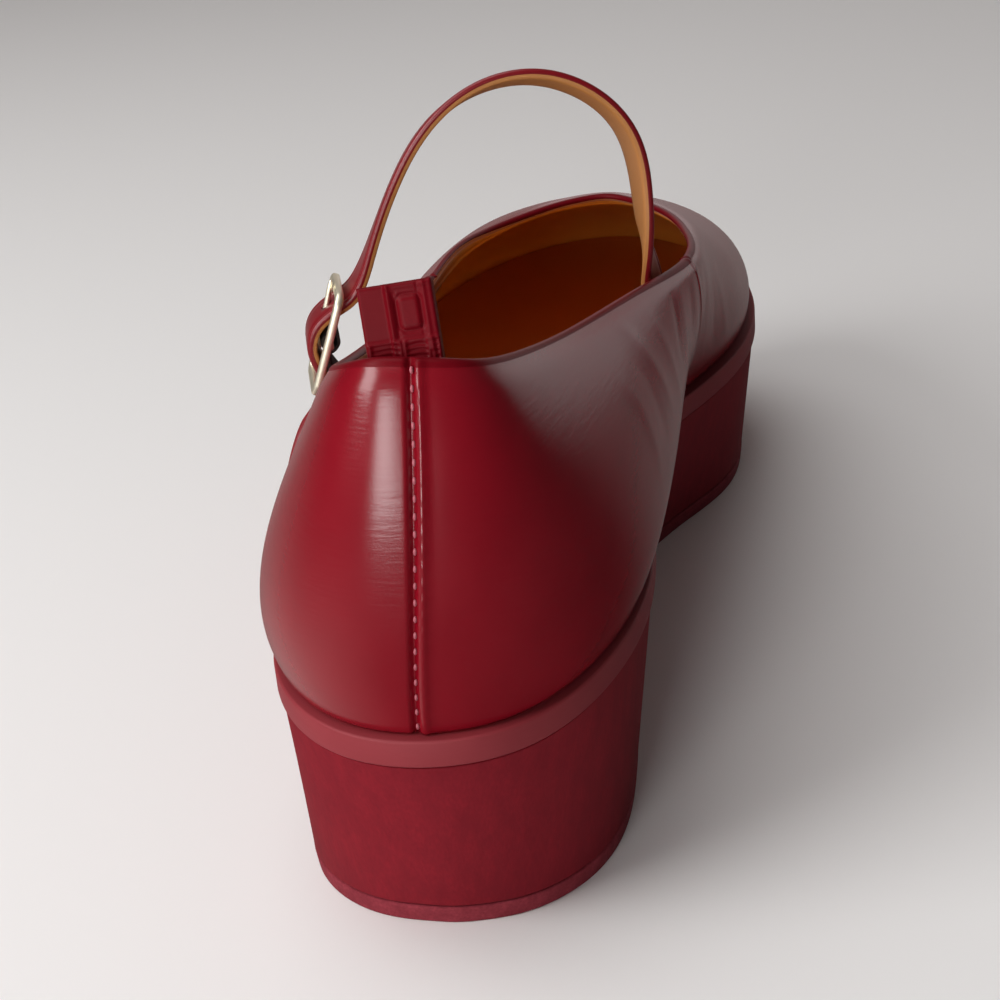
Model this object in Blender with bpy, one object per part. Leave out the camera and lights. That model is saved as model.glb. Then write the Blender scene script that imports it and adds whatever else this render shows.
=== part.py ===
"""Left mary jane shoe on a platform sole, in metres, +Z up, toe along +Y, inner side of the foot at +X.

The origin is on the floor under the middle of the heel. Every curved piece comes from one table of
stations that runs once around the shoe: the edge where the upper meets the sole, the edge of the
opening, and the bow of the wall between them.
"""
import math
from collections import namedtuple

import bpy
import numpy as np

# Driving sizes
LENGTH = 0.252            # back of the heel to the tip of the toe, along the welt
BALL_WIDTH = 0.091        # across the welt at the ball of the foot
HEEL_SEAT = 0.046         # welt's top above the floor under the heel
BALL_SEAT = 0.0395        # welt's top above the floor under the ball
TOE_SPRING = 0.005        # rise of the sole at the tip of the toe
BACK_HEIGHT = 0.0595      # opening's edge above the welt at the back seam
WALL = 0.0022             # leather and lining of the upper together
RIM_ROLL = 0.45           # height of the rolled edge at the opening, as a share of WALL
QUARTER_STEP = 0.0008     # the quarter's edge stands this proud of the vamp
GAP = 0.0003              # between pieces that meet

# Sole
WELT_HEIGHT = 0.005
TREAD_HEIGHT = 0.0035
WELT_MARGIN = 0.0024      # how far the upper's lower edge sits inside the welt's edge
WELT_OVERHANG = 0.0006    # how far the welt stands out over the platform
SOLE_TAPER = 0.0035       # how far the platform draws in from top to bottom, at the sides
TREAD_TAPER = 0.0003
INSOLE_THICKNESS = 0.0025
INSOLE_MARGIN = 0.0006    # between the insole and the upper's lining
HEEL_SPOT = 0.159         # share of the length from the back to the middle of the heel
DROP_START = 0.22         # shares of the length between which the seat runs down to the ball
DROP_END = 0.64
SPRING_START = 0.72       # share of the length where the sole starts to rise to the toe

# Strap
STRAP_WIDTH = 0.010
STRAP_THICKNESS = 0.0018
STRAP_RISE = 0.0406       # top of the arch above the opening's edge on the inner side
STRAP_TUCK = 0.012        # length of the strap inside the opening
TUCK_SLACK = 0.0008       # the flat strap stands off the round lining by this much
TAIL_LENGTH = 0.011       # stretch of the free end that lies on the quarter
STRAP_MEDIAL = 4.72       # station on the inner side that the strap comes from
STRAP_LATERAL = 17.27     # station on the outer side that the buckle hangs by

# Buckle
BUCKLE_LENGTH = 0.0206    # along the strap
BUCKLE_WIDTH = 0.0154     # across the strap
BUCKLE_BAR = 0.0015       # width of each bar in the buckle's face
BUCKLE_THICKNESS = 0.0012
BUCKLE_CORNER = 0.0028
BUCKLE_OUT = 0.0132       # centre of the buckle, outward from the opening's edge
BUCKLE_DROP = 0.0012      # and down from it
BUCKLE_LEAN = 20.0        # degrees that its lower end swings outward
BAR_SINK = 0.0006         # how far the middle bar sits inside the frame's own plane
PRONG_THICKNESS = 0.0011
ANCHOR_WIDTH = 0.0088
ANCHOR_THICKNESS = 0.0006
ANCHOR_LENGTH = 0.013     # stretch of the anchor that lies on the quarter
ANCHOR_DROP = 0.0035      # straight stretch of the anchor below its loop
LIE_SLACK = 0.0008        # flat bands stand this much more off the rounded quarter
ANCHOR_STATION = 17.27
ANCHOR_FOOT = 0.0096      # width of the anchor's lower end
ANCHOR_TOP = 0.60         # share of the wall's height where the anchor meets the quarter
ANCHOR_SLACK = 0.0007     # from the middle bar inward to the middle of the anchor's loop
LOOP_UP = 0.0018          # half height of the anchor's loop
LOOP_OUT = 0.0021         # half depth of the anchor's loop
TAIL_TOP = 0.46           # share of the wall's height where the strap's end comes to lie on it
EDGE_ROUNDING = 0.00025

# Pull tab
TAB_WIDTH = 0.0115
TAB_HEIGHT = 0.0120       # above the opening's edge
TAB_THICKNESS = 0.0034
TAB_FOLD = 0.0006         # the overlapping fold is this much thicker
TAB_FOLD_SHARE = 0.58     # share of the width that the fold covers
TAB_TUCK = 0.010          # length of the tab inside the opening
TAB_STATION = 0.0
TAB_TURN = 8.0            # degrees that the tab is turned toward the inner side
TAB_LEAN = 6.0            # degrees that it leans over toward the outer side
TAB_CLEARANCE = 0.0020    # the flat tab stands off the round wall behind it

# Fineness of the meshes
LINES_PER_STATION = 4
WALL_ROWS = 13
STRAP_SAMPLES = 90
ANCHOR_SAMPLES = 14
ANCHOR_TURNS = 20
TAB_SAMPLES = 12
CORNER_STEPS = 5          # segments in each rounded corner of the buckle
ROUND_SIDES = 8           # sides of the prong
SMOOTH_ANGLE = 40.0       # degrees; meshes are shaded flat across sharper edges
SHARP_ANGLE = 50.0        # degrees; the buckle's edges sharper than this are rounded off
NUDGE = 0.01              # in stations or shares, for slopes read off the curves

Station = namedtuple("Station", "along across top_along top_across top_rise lean rise reach drop taper")

# One row for each station, from the back seam around the inner side, the toe and the outer side.
# along, across: the welt's edge, in percent of LENGTH from the back and of BALL_WIDTH inward.
# top_along, top_across: the opening's edge in the same shares; top_rise: percent of BACK_HEIGHT.
# lean, rise: the wall's lower bow, outward and up; reach, drop: its upper bow, outward and down,
# all four in percent of BACK_HEIGHT.
# taper: the platform's draw, in percent of SOLE_TAPER.
STATIONS = [
    Station(0.0, 2.2, 4.2, 2.7, 100.0, 3, 33, 12, 33, 362),
    Station(3.2, 20.0, 5.5, 12.5, 97.5, 8, 28, 12, 29, 308),
    Station(11.0, 31.0, 10.7, 17.4, 90.5, 13, 22, 13, 22, 133),
    Station(21.4, 35.0, 21.0, 22.9, 80.5, 15, 20, 14, 17, 120),
    Station(34.1, 31.6, 33.3, 30.6, 72.5, 20, 20, 12, 18, 142),
    Station(46.8, 26.4, 42.8, 37.0, 66.5, 20, 22, 7, 18, 180),
    Station(56.3, 28.0, 50.0, 38.5, 63.5, 19, 22, 8, 17, 230),
    Station(65.1, 37.0, 57.5, 34.8, 60.5, 15, 22, 14, 13, 230),
    Station(74.6, 44.1, 64.3, 28.2, 58.2, 11, 22, 21, 12, 128),
    Station(84.9, 44.2, 68.7, 19.4, 57.2, 8, 23, 27, 11, 98),
    Station(94.4, 33.5, 70.6, 11.7, 57.2, 6, 25, 37, 13, 85),
    Station(100.0, 7.7, 70.3, 5.0, 56.8, 5, 27, 50, 17, 90),
    Station(97.4, -21.0, 68.7, -1.6, 56.5, 6, 25, 40, 14, 90),
    Station(88.5, -43.0, 66.3, -8.2, 56.0, 8, 23, 29, 11, 90),
    Station(75.4, -53.6, 62.8, -15.2, 55.8, 7, 17, 15, 10, 95),
    Station(62.3, -52.6, 56.9, -20.2, 57.2, 5, 14, 5, 12, 100),
    Station(48.4, -47.0, 48.4, -21.4, 58.9, 6, 15, 3, 13, 90),
    Station(34.5, -41.2, 37.3, -20.4, 62.7, 8, 18, 7, 12, 60),
    Station(21.4, -37.8, 23.8, -19.8, 71.5, 12, 20, 9, 16, 20),
    Station(9.5, -32.5, 12.3, -16.5, 84.8, 14, 22, 11, 23, 66),
    Station(1.8, -17.5, 5.2, -6.6, 98.0, 8, 28, 13, 29, 300),
]
COUNT = len(STATIONS)
MEDIAL_SEAM = 5.36        # stations where the quarter's edge lies over the vamp, at the opening
LATERAL_SEAM = 16.22
SEAM_LINE = 0.018         # share of a station that the step takes
SEAM_SWEEP = 1.3          # stations that each seam runs toward the toe on its way down to the welt
SEAM_BEND = 0.52          # share of the wall's height where it starts to do so
SEAM_REACH = 3.0          # stations on either side whose mesh lines bend with it

Colour = namedtuple("Colour", "red green blue roughness metallic")
BURGUNDY = Colour(0.17, 0.008, 0.016, 0.38, 0.0)
WELT_RED = Colour(0.20, 0.035, 0.045, 0.62, 0.0)
PLATFORM_RED = Colour(0.15, 0.010, 0.016, 0.85, 0.0)
TREAD_RED = Colour(0.17, 0.030, 0.036, 0.75, 0.0)
TAN = Colour(0.42, 0.18, 0.07, 0.60, 0.0)
BRASS = Colour(0.72, 0.60, 0.36, 0.28, 1.0)
DARK_BROWN = Colour(0.012, 0.007, 0.006, 0.80, 0.0)


def clear_scene():
    for item in list(bpy.data.objects):
        bpy.data.objects.remove(item, do_unlink=True)


def column(name):
    return np.array([getattr(row, name) for row in STATIONS], float) / 100.0


def around(values, at):
    """Smooth closed curve through one value per station, read at station numbers."""
    count = len(values)
    matrix = np.zeros((count, count))
    for index in range(count):
        matrix[index, index] = 4.0
        matrix[index, (index + 1) % count] += 1.0
        matrix[index, index - 1] += 1.0
    bend = np.linalg.solve(matrix, 6.0 * (np.roll(values, -1) - 2.0 * values + np.roll(values, 1)))
    at = np.mod(np.asarray(at, float), count)
    low = np.minimum(np.floor(at).astype(int), count - 1)
    high = (low + 1) % count
    step = at - low
    back = 1.0 - step
    return (back * values[low] + step * values[high]
            + ((back ** 3 - back) * bend[low] + (step ** 3 - step) * bend[high]) / 6.0)


def along_path(points, samples):
    """Smooth open curve through rows of x, y, z and any other values, sampled from end to end."""
    points = np.asarray(points, float)
    chords = np.linalg.norm(np.diff(points[:, :3], axis=0), axis=1)
    knots = np.concatenate([[0.0], np.cumsum(np.sqrt(chords))])
    count = len(points)
    matrix = np.eye(count)
    right = np.zeros_like(points)
    for index in range(1, count - 1):
        before = knots[index] - knots[index - 1]
        after = knots[index + 1] - knots[index]
        matrix[index, index - 1] = before
        matrix[index, index] = 2.0 * (before + after)
        matrix[index, index + 1] = after
        right[index] = 6.0 * ((points[index + 1] - points[index]) / after
                              - (points[index] - points[index - 1]) / before)
    bend = np.linalg.solve(matrix, right)
    at = np.linspace(0.0, knots[-1], samples)
    low = np.clip(np.searchsorted(knots, at, side="right") - 1, 0, count - 2)
    span = (knots[low + 1] - knots[low])[:, None]
    step = (at - knots[low])[:, None] / span
    back = 1.0 - step
    return (back * points[low] + step * points[low + 1]
            + ((back ** 3 - back) * bend[low] + (step ** 3 - step) * bend[low + 1]) * span ** 2 / 6.0)


def unit(vectors):
    return vectors / np.linalg.norm(vectors, axis=-1, keepdims=True)


def outward(along, across):
    """Level outward direction of a closed loop that runs from the back to the inner side."""
    side = unit(np.stack([along, -across], axis=-1))
    return np.concatenate([side, np.zeros(side.shape[:-1] + (1,))], axis=-1)


def plan_curve(across_name, along_name, at):
    across = around(column(across_name) * BALL_WIDTH, at)
    along = around(column(along_name) * LENGTH, at)
    return across, along


def plan_outward(across_name, along_name, at):
    across_before, along_before = plan_curve(across_name, along_name, np.asarray(at) - NUDGE)
    across_after, along_after = plan_curve(across_name, along_name, np.asarray(at) + NUDGE)
    return outward(along_after - along_before, across_after - across_before)


def ease(share):
    share = np.clip(share, 0.0, 1.0)
    return share * share * (3.0 - 2.0 * share)


def floor_line(along):
    """Height of the tread's underside: flat, then rising to the toe."""
    share = np.clip((along / LENGTH - SPRING_START) / (1.0 - SPRING_START), 0.0, 1.0)
    return TOE_SPRING * share ** 2


def seat_line(along):
    """Height of the welt's top."""
    share = (along / LENGTH - DROP_START) / (DROP_END - DROP_START)
    return HEEL_SEAT + (BALL_SEAT - HEEL_SEAT) * ease(share) + floor_line(along)


def sole_loop(at, inset):
    """Points of the welt's edge, drawn in level by inset."""
    across, along = plan_curve("across", "along", at)
    loop = np.stack([across, along, np.zeros_like(across)], axis=-1)
    return loop - plan_outward("across", "along", at) * np.asarray(inset).reshape(-1, 1)


def wall_surface(at, up):
    """Outer face of the upper: at = station number, up = 0 on the welt to 1 at the opening."""
    at, up = np.broadcast_arrays(np.asarray(at, float), np.asarray(up, float))
    foot_out = plan_outward("across", "along", at)
    across, along = plan_curve("across", "along", at)
    foot = np.stack([across, along, np.zeros_like(across)], axis=-1) - foot_out * WELT_MARGIN
    foot[..., 2] = seat_line(foot[..., 1]) + GAP
    top_out = plan_outward("top_across", "top_along", at)
    across, along = plan_curve("top_across", "top_along", at)
    top = np.stack([across, along, HEEL_SEAT + around(column("top_rise") * BACK_HEIGHT, at)], axis=-1)
    lift = np.array([0.0, 0.0, 1.0])
    bows = {name: around(column(name) * BACK_HEIGHT, at)[..., None]
            for name in ("lean", "rise", "reach", "drop")}
    low = foot + foot_out * bows["lean"] + lift * bows["rise"]
    high = top + top_out * bows["reach"] - lift * bows["drop"]
    up = up[..., None]
    down = 1.0 - up
    return down ** 3 * foot + 3 * down ** 2 * up * low + 3 * down * up ** 2 * high + up ** 3 * top


def wall_normal(at, up):
    at, up = np.broadcast_arrays(np.asarray(at, float), np.asarray(up, float))
    around_step = wall_surface(at + NUDGE, up) - wall_surface(at - NUDGE, up)
    upper = np.minimum(up + NUDGE, 1.0)
    lower = np.maximum(up - NUDGE, 0.0)
    up_step = wall_surface(at, upper) - wall_surface(at, lower)
    return unit(np.cross(around_step, up_step))


def quarter_lift(line):
    """Height of the quarter's face over the vamp's, for mesh lines given by their top station."""
    on_quarter = (line <= MEDIAL_SEAM + SEAM_LINE / 2) | (line >= LATERAL_SEAM - SEAM_LINE / 2)
    return np.where(on_quarter, QUARTER_STEP, 0.0)


def line_at(line, up):
    """Station of a mesh line at a height: lines near a seam run toward the toe with it."""
    sweep_down = SEAM_SWEEP * np.maximum(0.0, 1.0 - up / SEAM_BEND) ** 1.5
    at = line
    for seam, way in ((MEDIAL_SEAM, 1.0), (LATERAL_SEAM, -1.0)):
        near = np.maximum(0.0, 1.0 - ((line - seam) / SEAM_REACH) ** 2) ** 2
        at = at + way * near * sweep_down
    return at


def outer_point(at, up, lift):
    """Point over the quarter's visible face, raised by lift."""
    return wall_surface(at, up) + wall_normal(at, up) * (QUARTER_STEP + lift)


def material(name, colour):
    made = bpy.data.materials.new(name)
    made.use_nodes = True
    shader = made.node_tree.nodes["Principled BSDF"]
    shader.inputs["Base Color"].default_value = (colour.red, colour.green, colour.blue, 1.0)
    shader.inputs["Roughness"].default_value = colour.roughness
    shader.inputs["Metallic"].default_value = colour.metallic
    made.diffuse_color = (colour.red, colour.green, colour.blue, 1.0)
    return made


def add_object(name, points, faces, colour, smooth=True):
    """Mesh object, moved so that the origin is under the middle of the heel."""
    points = np.asarray(points, float) - np.array([0.0, HEEL_SPOT * LENGTH, 0.0])
    mesh = bpy.data.meshes.new(name)
    mesh.from_pydata([tuple(point) for point in points], [], [tuple(map(int, face)) for face in faces])
    mesh.update()
    if smooth:
        mesh.shade_smooth()
        mesh.set_sharp_from_angle(angle=math.radians(SMOOTH_ANGLE))
    made = bpy.data.objects.new(name, mesh)
    made.data.materials.append(material(name + "_material", colour))
    bpy.context.collection.objects.link(made)
    return made


def ring_faces(first, second, count):
    """Quads between two closed rings of points whose first indices are given."""
    return [(first + index, first + (index + 1) % count, second + (index + 1) % count, second + index)
            for index in range(count)]


def plate(name, at, top_inset, low_inset, top_line, low_line, colour):
    """Closed slab between two sole loops, with a spine down the middle of each face."""
    count = len(at)
    half = count // 2
    points = []
    for inset, line in ((low_inset, low_line), (top_inset, top_line)):
        loop = sole_loop(at, inset)
        loop[:, 2] = line(loop[:, 1])
        points.append(loop)
    spines = []
    for loop, line in zip(points, (low_line, top_line)):
        spine = 0.5 * (loop[1:half] + loop[:half:-1])
        spine[:, 2] = line(spine[:, 1])
        spines.append(spine)
    faces = ring_faces(0, count, count)
    for base, first, flip in ((0, 2 * count, True), (count, 2 * count + half - 1, False)):
        made = [(base, base + 1, first), (base, first, base + count - 1)]
        made.append((base + half, first + half - 2, base + half - 1))
        made.append((base + half, base + half + 1, first + half - 2))
        for index in range(half - 2):
            near, far = first + index, first + index + 1
            made.append((base + index + 1, base + index + 2, far, near))
            made.append((near, far, base + count - index - 2, base + count - index - 1))
        faces += [face[::-1] for face in made] if flip else made
    return add_object(name, np.concatenate(points + spines), faces, colour)


def sole_stations():
    return np.linspace(0.0, COUNT, LINES_PER_STATION * COUNT, endpoint=False)


def make_sole():
    at = sole_stations()
    taper = around(column("taper") * SOLE_TAPER, at)
    foot = WELT_OVERHANG + taper
    plate("tread", at, foot, foot + TREAD_TAPER,
          lambda along: floor_line(along) + TREAD_HEIGHT, floor_line, TREAD_RED)
    plate("platform", at, np.full_like(at, WELT_OVERHANG), foot,
          lambda along: seat_line(along) - WELT_HEIGHT - GAP,
          lambda along: floor_line(along) + TREAD_HEIGHT + GAP, PLATFORM_RED)
    plate("welt", at, np.zeros_like(at), np.zeros_like(at),
          seat_line, lambda along: seat_line(along) - WELT_HEIGHT, WELT_RED)
    inside = np.full_like(at, WELT_MARGIN + WALL + INSOLE_MARGIN)
    plate("insole", at, inside, inside,
          lambda along: seat_line(along) + GAP + INSOLE_THICKNESS,
          lambda along: seat_line(along) + GAP, TAN)


def upper_lines():
    """Station numbers of the mesh lines, with a close pair where the quarter steps down."""
    lines = sole_stations().tolist()
    lines += [MEDIAL_SEAM, MEDIAL_SEAM + SEAM_LINE, LATERAL_SEAM - SEAM_LINE, LATERAL_SEAM]
    return np.array(sorted(lines))


def make_upper():
    """One hollow wall: outer face, inner face, rolled edge at the opening, flat edge on the welt."""
    lines = upper_lines()
    count = len(lines)
    proud = quarter_lift(lines)[:, None]
    outer, inner = [], []
    for share in np.linspace(0.0, 1.0, WALL_ROWS):
        at = line_at(lines, share)
        outer.append(wall_surface(at, share) + proud * wall_normal(at, share))
        inner.append(wall_surface(at, share) - WALL * wall_normal(at, share))
    at = line_at(lines, 0.0)
    foot_out = plan_outward("across", "along", at)
    outer[0] = wall_surface(at, 0.0) + proud * foot_out
    inner[0] = wall_surface(at, 0.0) - WALL * foot_out
    for edge in (outer[0], inner[0]):
        edge[:, 2] = seat_line(edge[:, 1]) + GAP
    climb = unit(outer[-1] - outer[-2])
    roll = 0.5 * (outer[-1] + inner[-1]) + climb * RIM_ROLL * WALL
    rows = outer + [roll] + inner[::-1]
    faces = []
    for row in range(len(rows) - 1):
        faces += ring_faces(row * count, (row + 1) * count, count)
    faces += ring_faces((len(rows) - 1) * count, 0, count)
    return add_object("upper", np.concatenate(rows), faces, BURGUNDY)


def sweep(centres, across, section):
    """Closed band along centres; section lists its corners as (across, outward) at each centre."""
    tangent = unit(np.gradient(centres, axis=0))
    across = unit(across - tangent * np.sum(across * tangent, axis=1, keepdims=True))
    out = np.cross(across, tangent)
    corners = [centres + across * np.reshape(side, (-1, 1)) + out * np.reshape(face, (-1, 1))
               for side, face in section]
    points = np.stack(corners, axis=1).reshape(-1, 3)
    count = len(section)
    faces = []
    for index in range(len(centres) - 1):
        faces += ring_faces(count * index, count * (index + 1), count)
    last = count * (len(centres) - 1)
    faces += [tuple(reversed(range(count))), tuple(range(last, last + count))]
    return points, outward_faces(points, faces)


def band_section(width, thickness):
    side, face = np.asarray(width) / 2, thickness / 2
    return [(side, face), (-side, face), (-side, -face), (side, -face)]


def outward_faces(points, faces):
    """The same faces, all turned over if the closed body they make is inside out."""
    volume = 0.0
    for face in faces:
        for index in range(1, len(face) - 1):
            volume += np.dot(points[face[0]], np.cross(points[face[index]], points[face[index + 1]]))
    return faces if volume > 0 else [face[::-1] for face in faces]


class StrapPlane:
    """Upright plane of the strap, from the inner edge of the opening to the outer one."""

    def __init__(self):
        self.start = wall_surface(STRAP_MEDIAL, 1.0)
        self.end = wall_surface(STRAP_LATERAL, 1.0)
        level = (self.end - self.start) * np.array([1.0, 1.0, 0.0])
        self.span = float(np.linalg.norm(level))
        self.run = level / self.span
        self.forward = np.array([self.run[1], -self.run[0], 0.0])
        self.lift = np.array([0.0, 0.0, 1.0])
        lean = math.radians(BUCKLE_LEAN)
        self.buckle = self.end + self.run * BUCKLE_OUT - self.lift * BUCKLE_DROP
        self.buckle_up = self.lift * math.cos(lean) - self.run * math.sin(lean)
        self.buckle_out = self.run * math.cos(lean) + self.lift * math.sin(lean)

    def point(self, run, rise):
        return self.start + self.run * run + self.lift * rise

    def at_buckle(self, up, out):
        return self.buckle + self.buckle_up * up + self.buckle_out * out


ArchPoint = namedtuple("ArchPoint", "run rise cant settled")
# The strap's arch: share of the opening's width from the inner side, share of STRAP_RISE, how far
# the front edge leans in toward the foot, in degrees, and how far the strap still lies along the wall
# that it comes from: -1 flat on it, 0 free.
ARCH = [
    ArchPoint(0.086, 0.19, 4, -0.3),
    ArchPoint(0.092, 0.42, 6, -0.05),
    ArchPoint(0.128, 0.68, 10, 0.0),
    ArchPoint(0.240, 0.88, 16, 0.0),
    ArchPoint(0.430, 1.00, 20, 0.0),
    ArchPoint(0.640, 0.98, 18, 0.0),
    ArchPoint(0.820, 0.83, 12, 0.0),
    ArchPoint(0.950, 0.59, 9, 0.0),
    ArchPoint(1.045, 0.33, 6, 0.0),
]
BucklePoint = namedtuple("BucklePoint", "up out settled")
# The strap through the buckle: share of its half length up the frame, outward in strap thicknesses,
# and how far the strap has turned from its own plane to lie along the quarter.
WEAVE = [
    BucklePoint(0.97, -1.75, 0.0),
    BucklePoint(0.63, -0.40, 0.0),
    BucklePoint(0.30, 1.02, 0.0),
    BucklePoint(-0.02, 1.44, 0.0),
    BucklePoint(-0.36, 0.86, 0.0),
    BucklePoint(-0.68, -0.75, 0.2),
    BucklePoint(-1.04, -1.65, 0.5),
]


def cant_across(plane, line, cants):
    """Width direction of a band in the strap's plane, its front edge leaning in by cants degrees."""
    tangent = unit(np.gradient(line, axis=0))
    out = np.cross(np.broadcast_to(plane.forward, line.shape), tangent)
    out *= np.sign(out[len(out) // 2, 2])
    cant = np.radians(cants)[:, None]
    return plane.forward * np.cos(cant) - out * np.sin(cant)


def wall_forward(at, up):
    """Direction toward the toe along the wall, on either side."""
    ahead = unit(wall_surface(at + NUDGE, up) - wall_surface(at - NUDGE, up))
    return ahead * np.sign(ahead[1])


def make_strap(plane):
    """From inside the opening, over the arch, through the buckle and down the quarter."""
    inside = WALL + GAP + TUCK_SLACK + STRAP_THICKNESS / 2
    depth = STRAP_TUCK / BACK_HEIGHT
    rows = []
    for share in (1.0 - depth, 1.0 - depth / 2, 1.0):
        spot = wall_surface(STRAP_MEDIAL, share) - inside * wall_normal(STRAP_MEDIAL, share)
        rows.append((*spot, ARCH[0].cant, -1.0))
    for row in ARCH:
        spot = plane.point(row.run * plane.span, row.rise * STRAP_RISE)
        rows.append((*spot, row.cant, row.settled))
    for row in WEAVE:
        spot = plane.at_buckle(row.up * BUCKLE_LENGTH / 2, row.out * STRAP_THICKNESS)
        rows.append((*spot, 0.0, row.settled))
    lie = 2 * ANCHOR_THICKNESS + 2 * GAP + 2 * LIE_SLACK + STRAP_THICKNESS / 2
    for share in (TAIL_TOP, TAIL_TOP - TAIL_LENGTH / BACK_HEIGHT):
        rows.append((*outer_point(ANCHOR_STATION, share, lie), 0.0, 1.0))
    smooth = along_path(rows, STRAP_SAMPLES)
    line, cants, settled = smooth[:, :3], smooth[:, 3], np.clip(smooth[:, 4:5], -1.0, 1.0)
    across = (cant_across(plane, line, cants) * (1.0 - np.abs(settled))
              + wall_forward(STRAP_MEDIAL, 1.0 - depth / 2) * np.maximum(-settled, 0.0)
              + wall_forward(ANCHOR_STATION, TAIL_TOP) * np.maximum(settled, 0.0))
    points, faces = sweep(line, across, band_section(STRAP_WIDTH, STRAP_THICKNESS))
    return add_object("strap", points, faces, BURGUNDY)


def rounded_loop(width, height, corner):
    """Corner-rounded rectangle in a plane, counter-clockwise, as (side, up) pairs."""
    loop = []
    for turn, (side, up) in enumerate(((1, 1), (-1, 1), (-1, -1), (1, -1))):
        centre = (side * (width / 2 - corner), up * (height / 2 - corner))
        for step in range(CORNER_STEPS + 1):
            angle = math.radians(90 * (turn + step / CORNER_STEPS))
            loop.append((centre[0] + corner * math.cos(angle), centre[1] + corner * math.sin(angle)))
    return loop


def make_buckle(plane):
    """Flat frame with one window and a middle bar set slightly inward, all one casting."""
    outer = rounded_loop(BUCKLE_WIDTH, BUCKLE_LENGTH, BUCKLE_CORNER)
    window = rounded_loop(BUCKLE_WIDTH - 2 * BUCKLE_BAR, BUCKLE_LENGTH - 2 * BUCKLE_BAR,
                          BUCKLE_CORNER - BUCKLE_BAR)
    half = BUCKLE_THICKNESS / 2
    points = [plane.at_buckle(up, out) + plane.forward * side
              for loop, out in ((outer, half), (window, half), (window, -half), (outer, -half))
              for side, up in loop]
    count = len(outer)
    faces = []
    for layer in range(4):
        faces += ring_faces(layer * count, (layer + 1) % 4 * count, count)
    points = np.array(points)
    frame = add_object("buckle_frame", points, outward_faces(points, faces), BRASS)
    ends = [plane.at_buckle(0.0, -BAR_SINK) + plane.forward * side * (BUCKLE_WIDTH / 2 - BUCKLE_BAR / 2)
            for side in (-1, 0, 1)]
    across = np.broadcast_to(plane.buckle_up, (3, 3))
    bar = add_cutter("middle_bar", np.array(ends), across, band_section(BUCKLE_BAR, BUCKLE_THICKNESS))
    combine(frame, bar, "UNION")
    rounding = frame.modifiers.new("round_edges", "BEVEL")
    rounding.width = EDGE_ROUNDING
    rounding.segments = 2
    rounding.limit_method = "ANGLE"
    rounding.angle_limit = math.radians(SHARP_ANGLE)
    return frame


def add_cutter(name, centres, across, section):
    """Band used only to cut or join another piece."""
    points, faces = sweep(centres, across, section)
    cutter = add_object(name, points, faces, BRASS, smooth=False)
    cutter.hide_render = True
    cutter.display_type = "WIRE"
    return cutter


def combine(target, other, operation):
    change = target.modifiers.new(other.name, "BOOLEAN")
    change.operation = operation
    change.solver = "EXACT"
    change.object = other


def round_section(radius):
    turns = [2 * math.pi * index / ROUND_SIDES for index in range(ROUND_SIDES)]
    return [(radius * math.cos(turn), radius * math.sin(turn)) for turn in turns]


def make_prong(plane):
    """Straight pin from the middle bar to rest on the upper bar, and the hole it needs."""
    radius = PRONG_THICKNESS / 2
    low = plane.at_buckle(-PRONG_THICKNESS / 2, BUCKLE_THICKNESS / 2 - BAR_SINK + GAP + radius)
    high = plane.at_buckle(BUCKLE_LENGTH / 2 + PRONG_THICKNESS / 4, BUCKLE_THICKNESS / 2 + GAP + radius)
    centres = np.array([low, 0.5 * (low + high), high])
    across = np.broadcast_to(plane.forward, centres.shape)
    points, faces = sweep(centres, across, round_section(radius))
    add_object("buckle_prong", points, faces, BRASS)
    reach = plane.buckle_up * GAP
    longer = np.array([low - reach, 0.5 * (low + high), high + reach])
    return add_cutter("prong_hole", longer, across, round_section(radius + GAP))


def make_anchor(plane):
    """Elastic that loops around the middle bar and lies on the quarter, widening downward."""
    turns = np.linspace(0.0, 2 * math.pi, ANCHOR_TURNS, endpoint=False)
    centre = -BAR_SINK - ANCHOR_SLACK
    loop = np.array([plane.at_buckle(LOOP_UP * math.sin(turn), centre + LOOP_OUT * math.cos(turn))
                     for turn in turns])
    inward = unit(loop.mean(axis=0) - loop)
    half = ANCHOR_THICKNESS / 2
    points = np.concatenate([loop + inward * half * face + plane.forward * ANCHOR_WIDTH / 2 * side
                             for side, face in ((1, 1), (1, -1), (-1, -1), (-1, 1))])
    faces = []
    for layer in range(4):
        faces += ring_faces(layer * ANCHOR_TURNS, (layer + 1) % 4 * ANCHOR_TURNS, ANCHOR_TURNS)
    anchor = add_object("buckle_anchor", points, outward_faces(points, faces), DARK_BROWN)
    lie = GAP + LIE_SLACK + ANCHOR_THICKNESS
    start = plane.at_buckle(-LOOP_UP, centre)
    route = [(*start, 0.0), (*(start - plane.lift * ANCHOR_DROP), 0.0)]
    shares = np.linspace(ANCHOR_TOP, ANCHOR_TOP - ANCHOR_LENGTH / BACK_HEIGHT, 3)
    route += [(*outer_point(ANCHOR_STATION, share, lie), settled)
              for share, settled in zip(shares, (0.5, 1.0, 1.0))]
    smooth = along_path(route, ANCHOR_SAMPLES)
    line, settled = smooth[:, :3], np.clip(smooth[:, 3:], 0.0, 1.0)
    across = plane.forward * (1.0 - settled) + wall_forward(ANCHOR_STATION, ANCHOR_TOP) * settled
    width = np.linspace(ANCHOR_WIDTH, ANCHOR_FOOT, ANCHOR_SAMPLES)
    strip = add_cutter("anchor_strip", line, across, band_section(width, 2 * ANCHOR_THICKNESS))
    combine(anchor, strip, "UNION")
    return anchor


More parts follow.
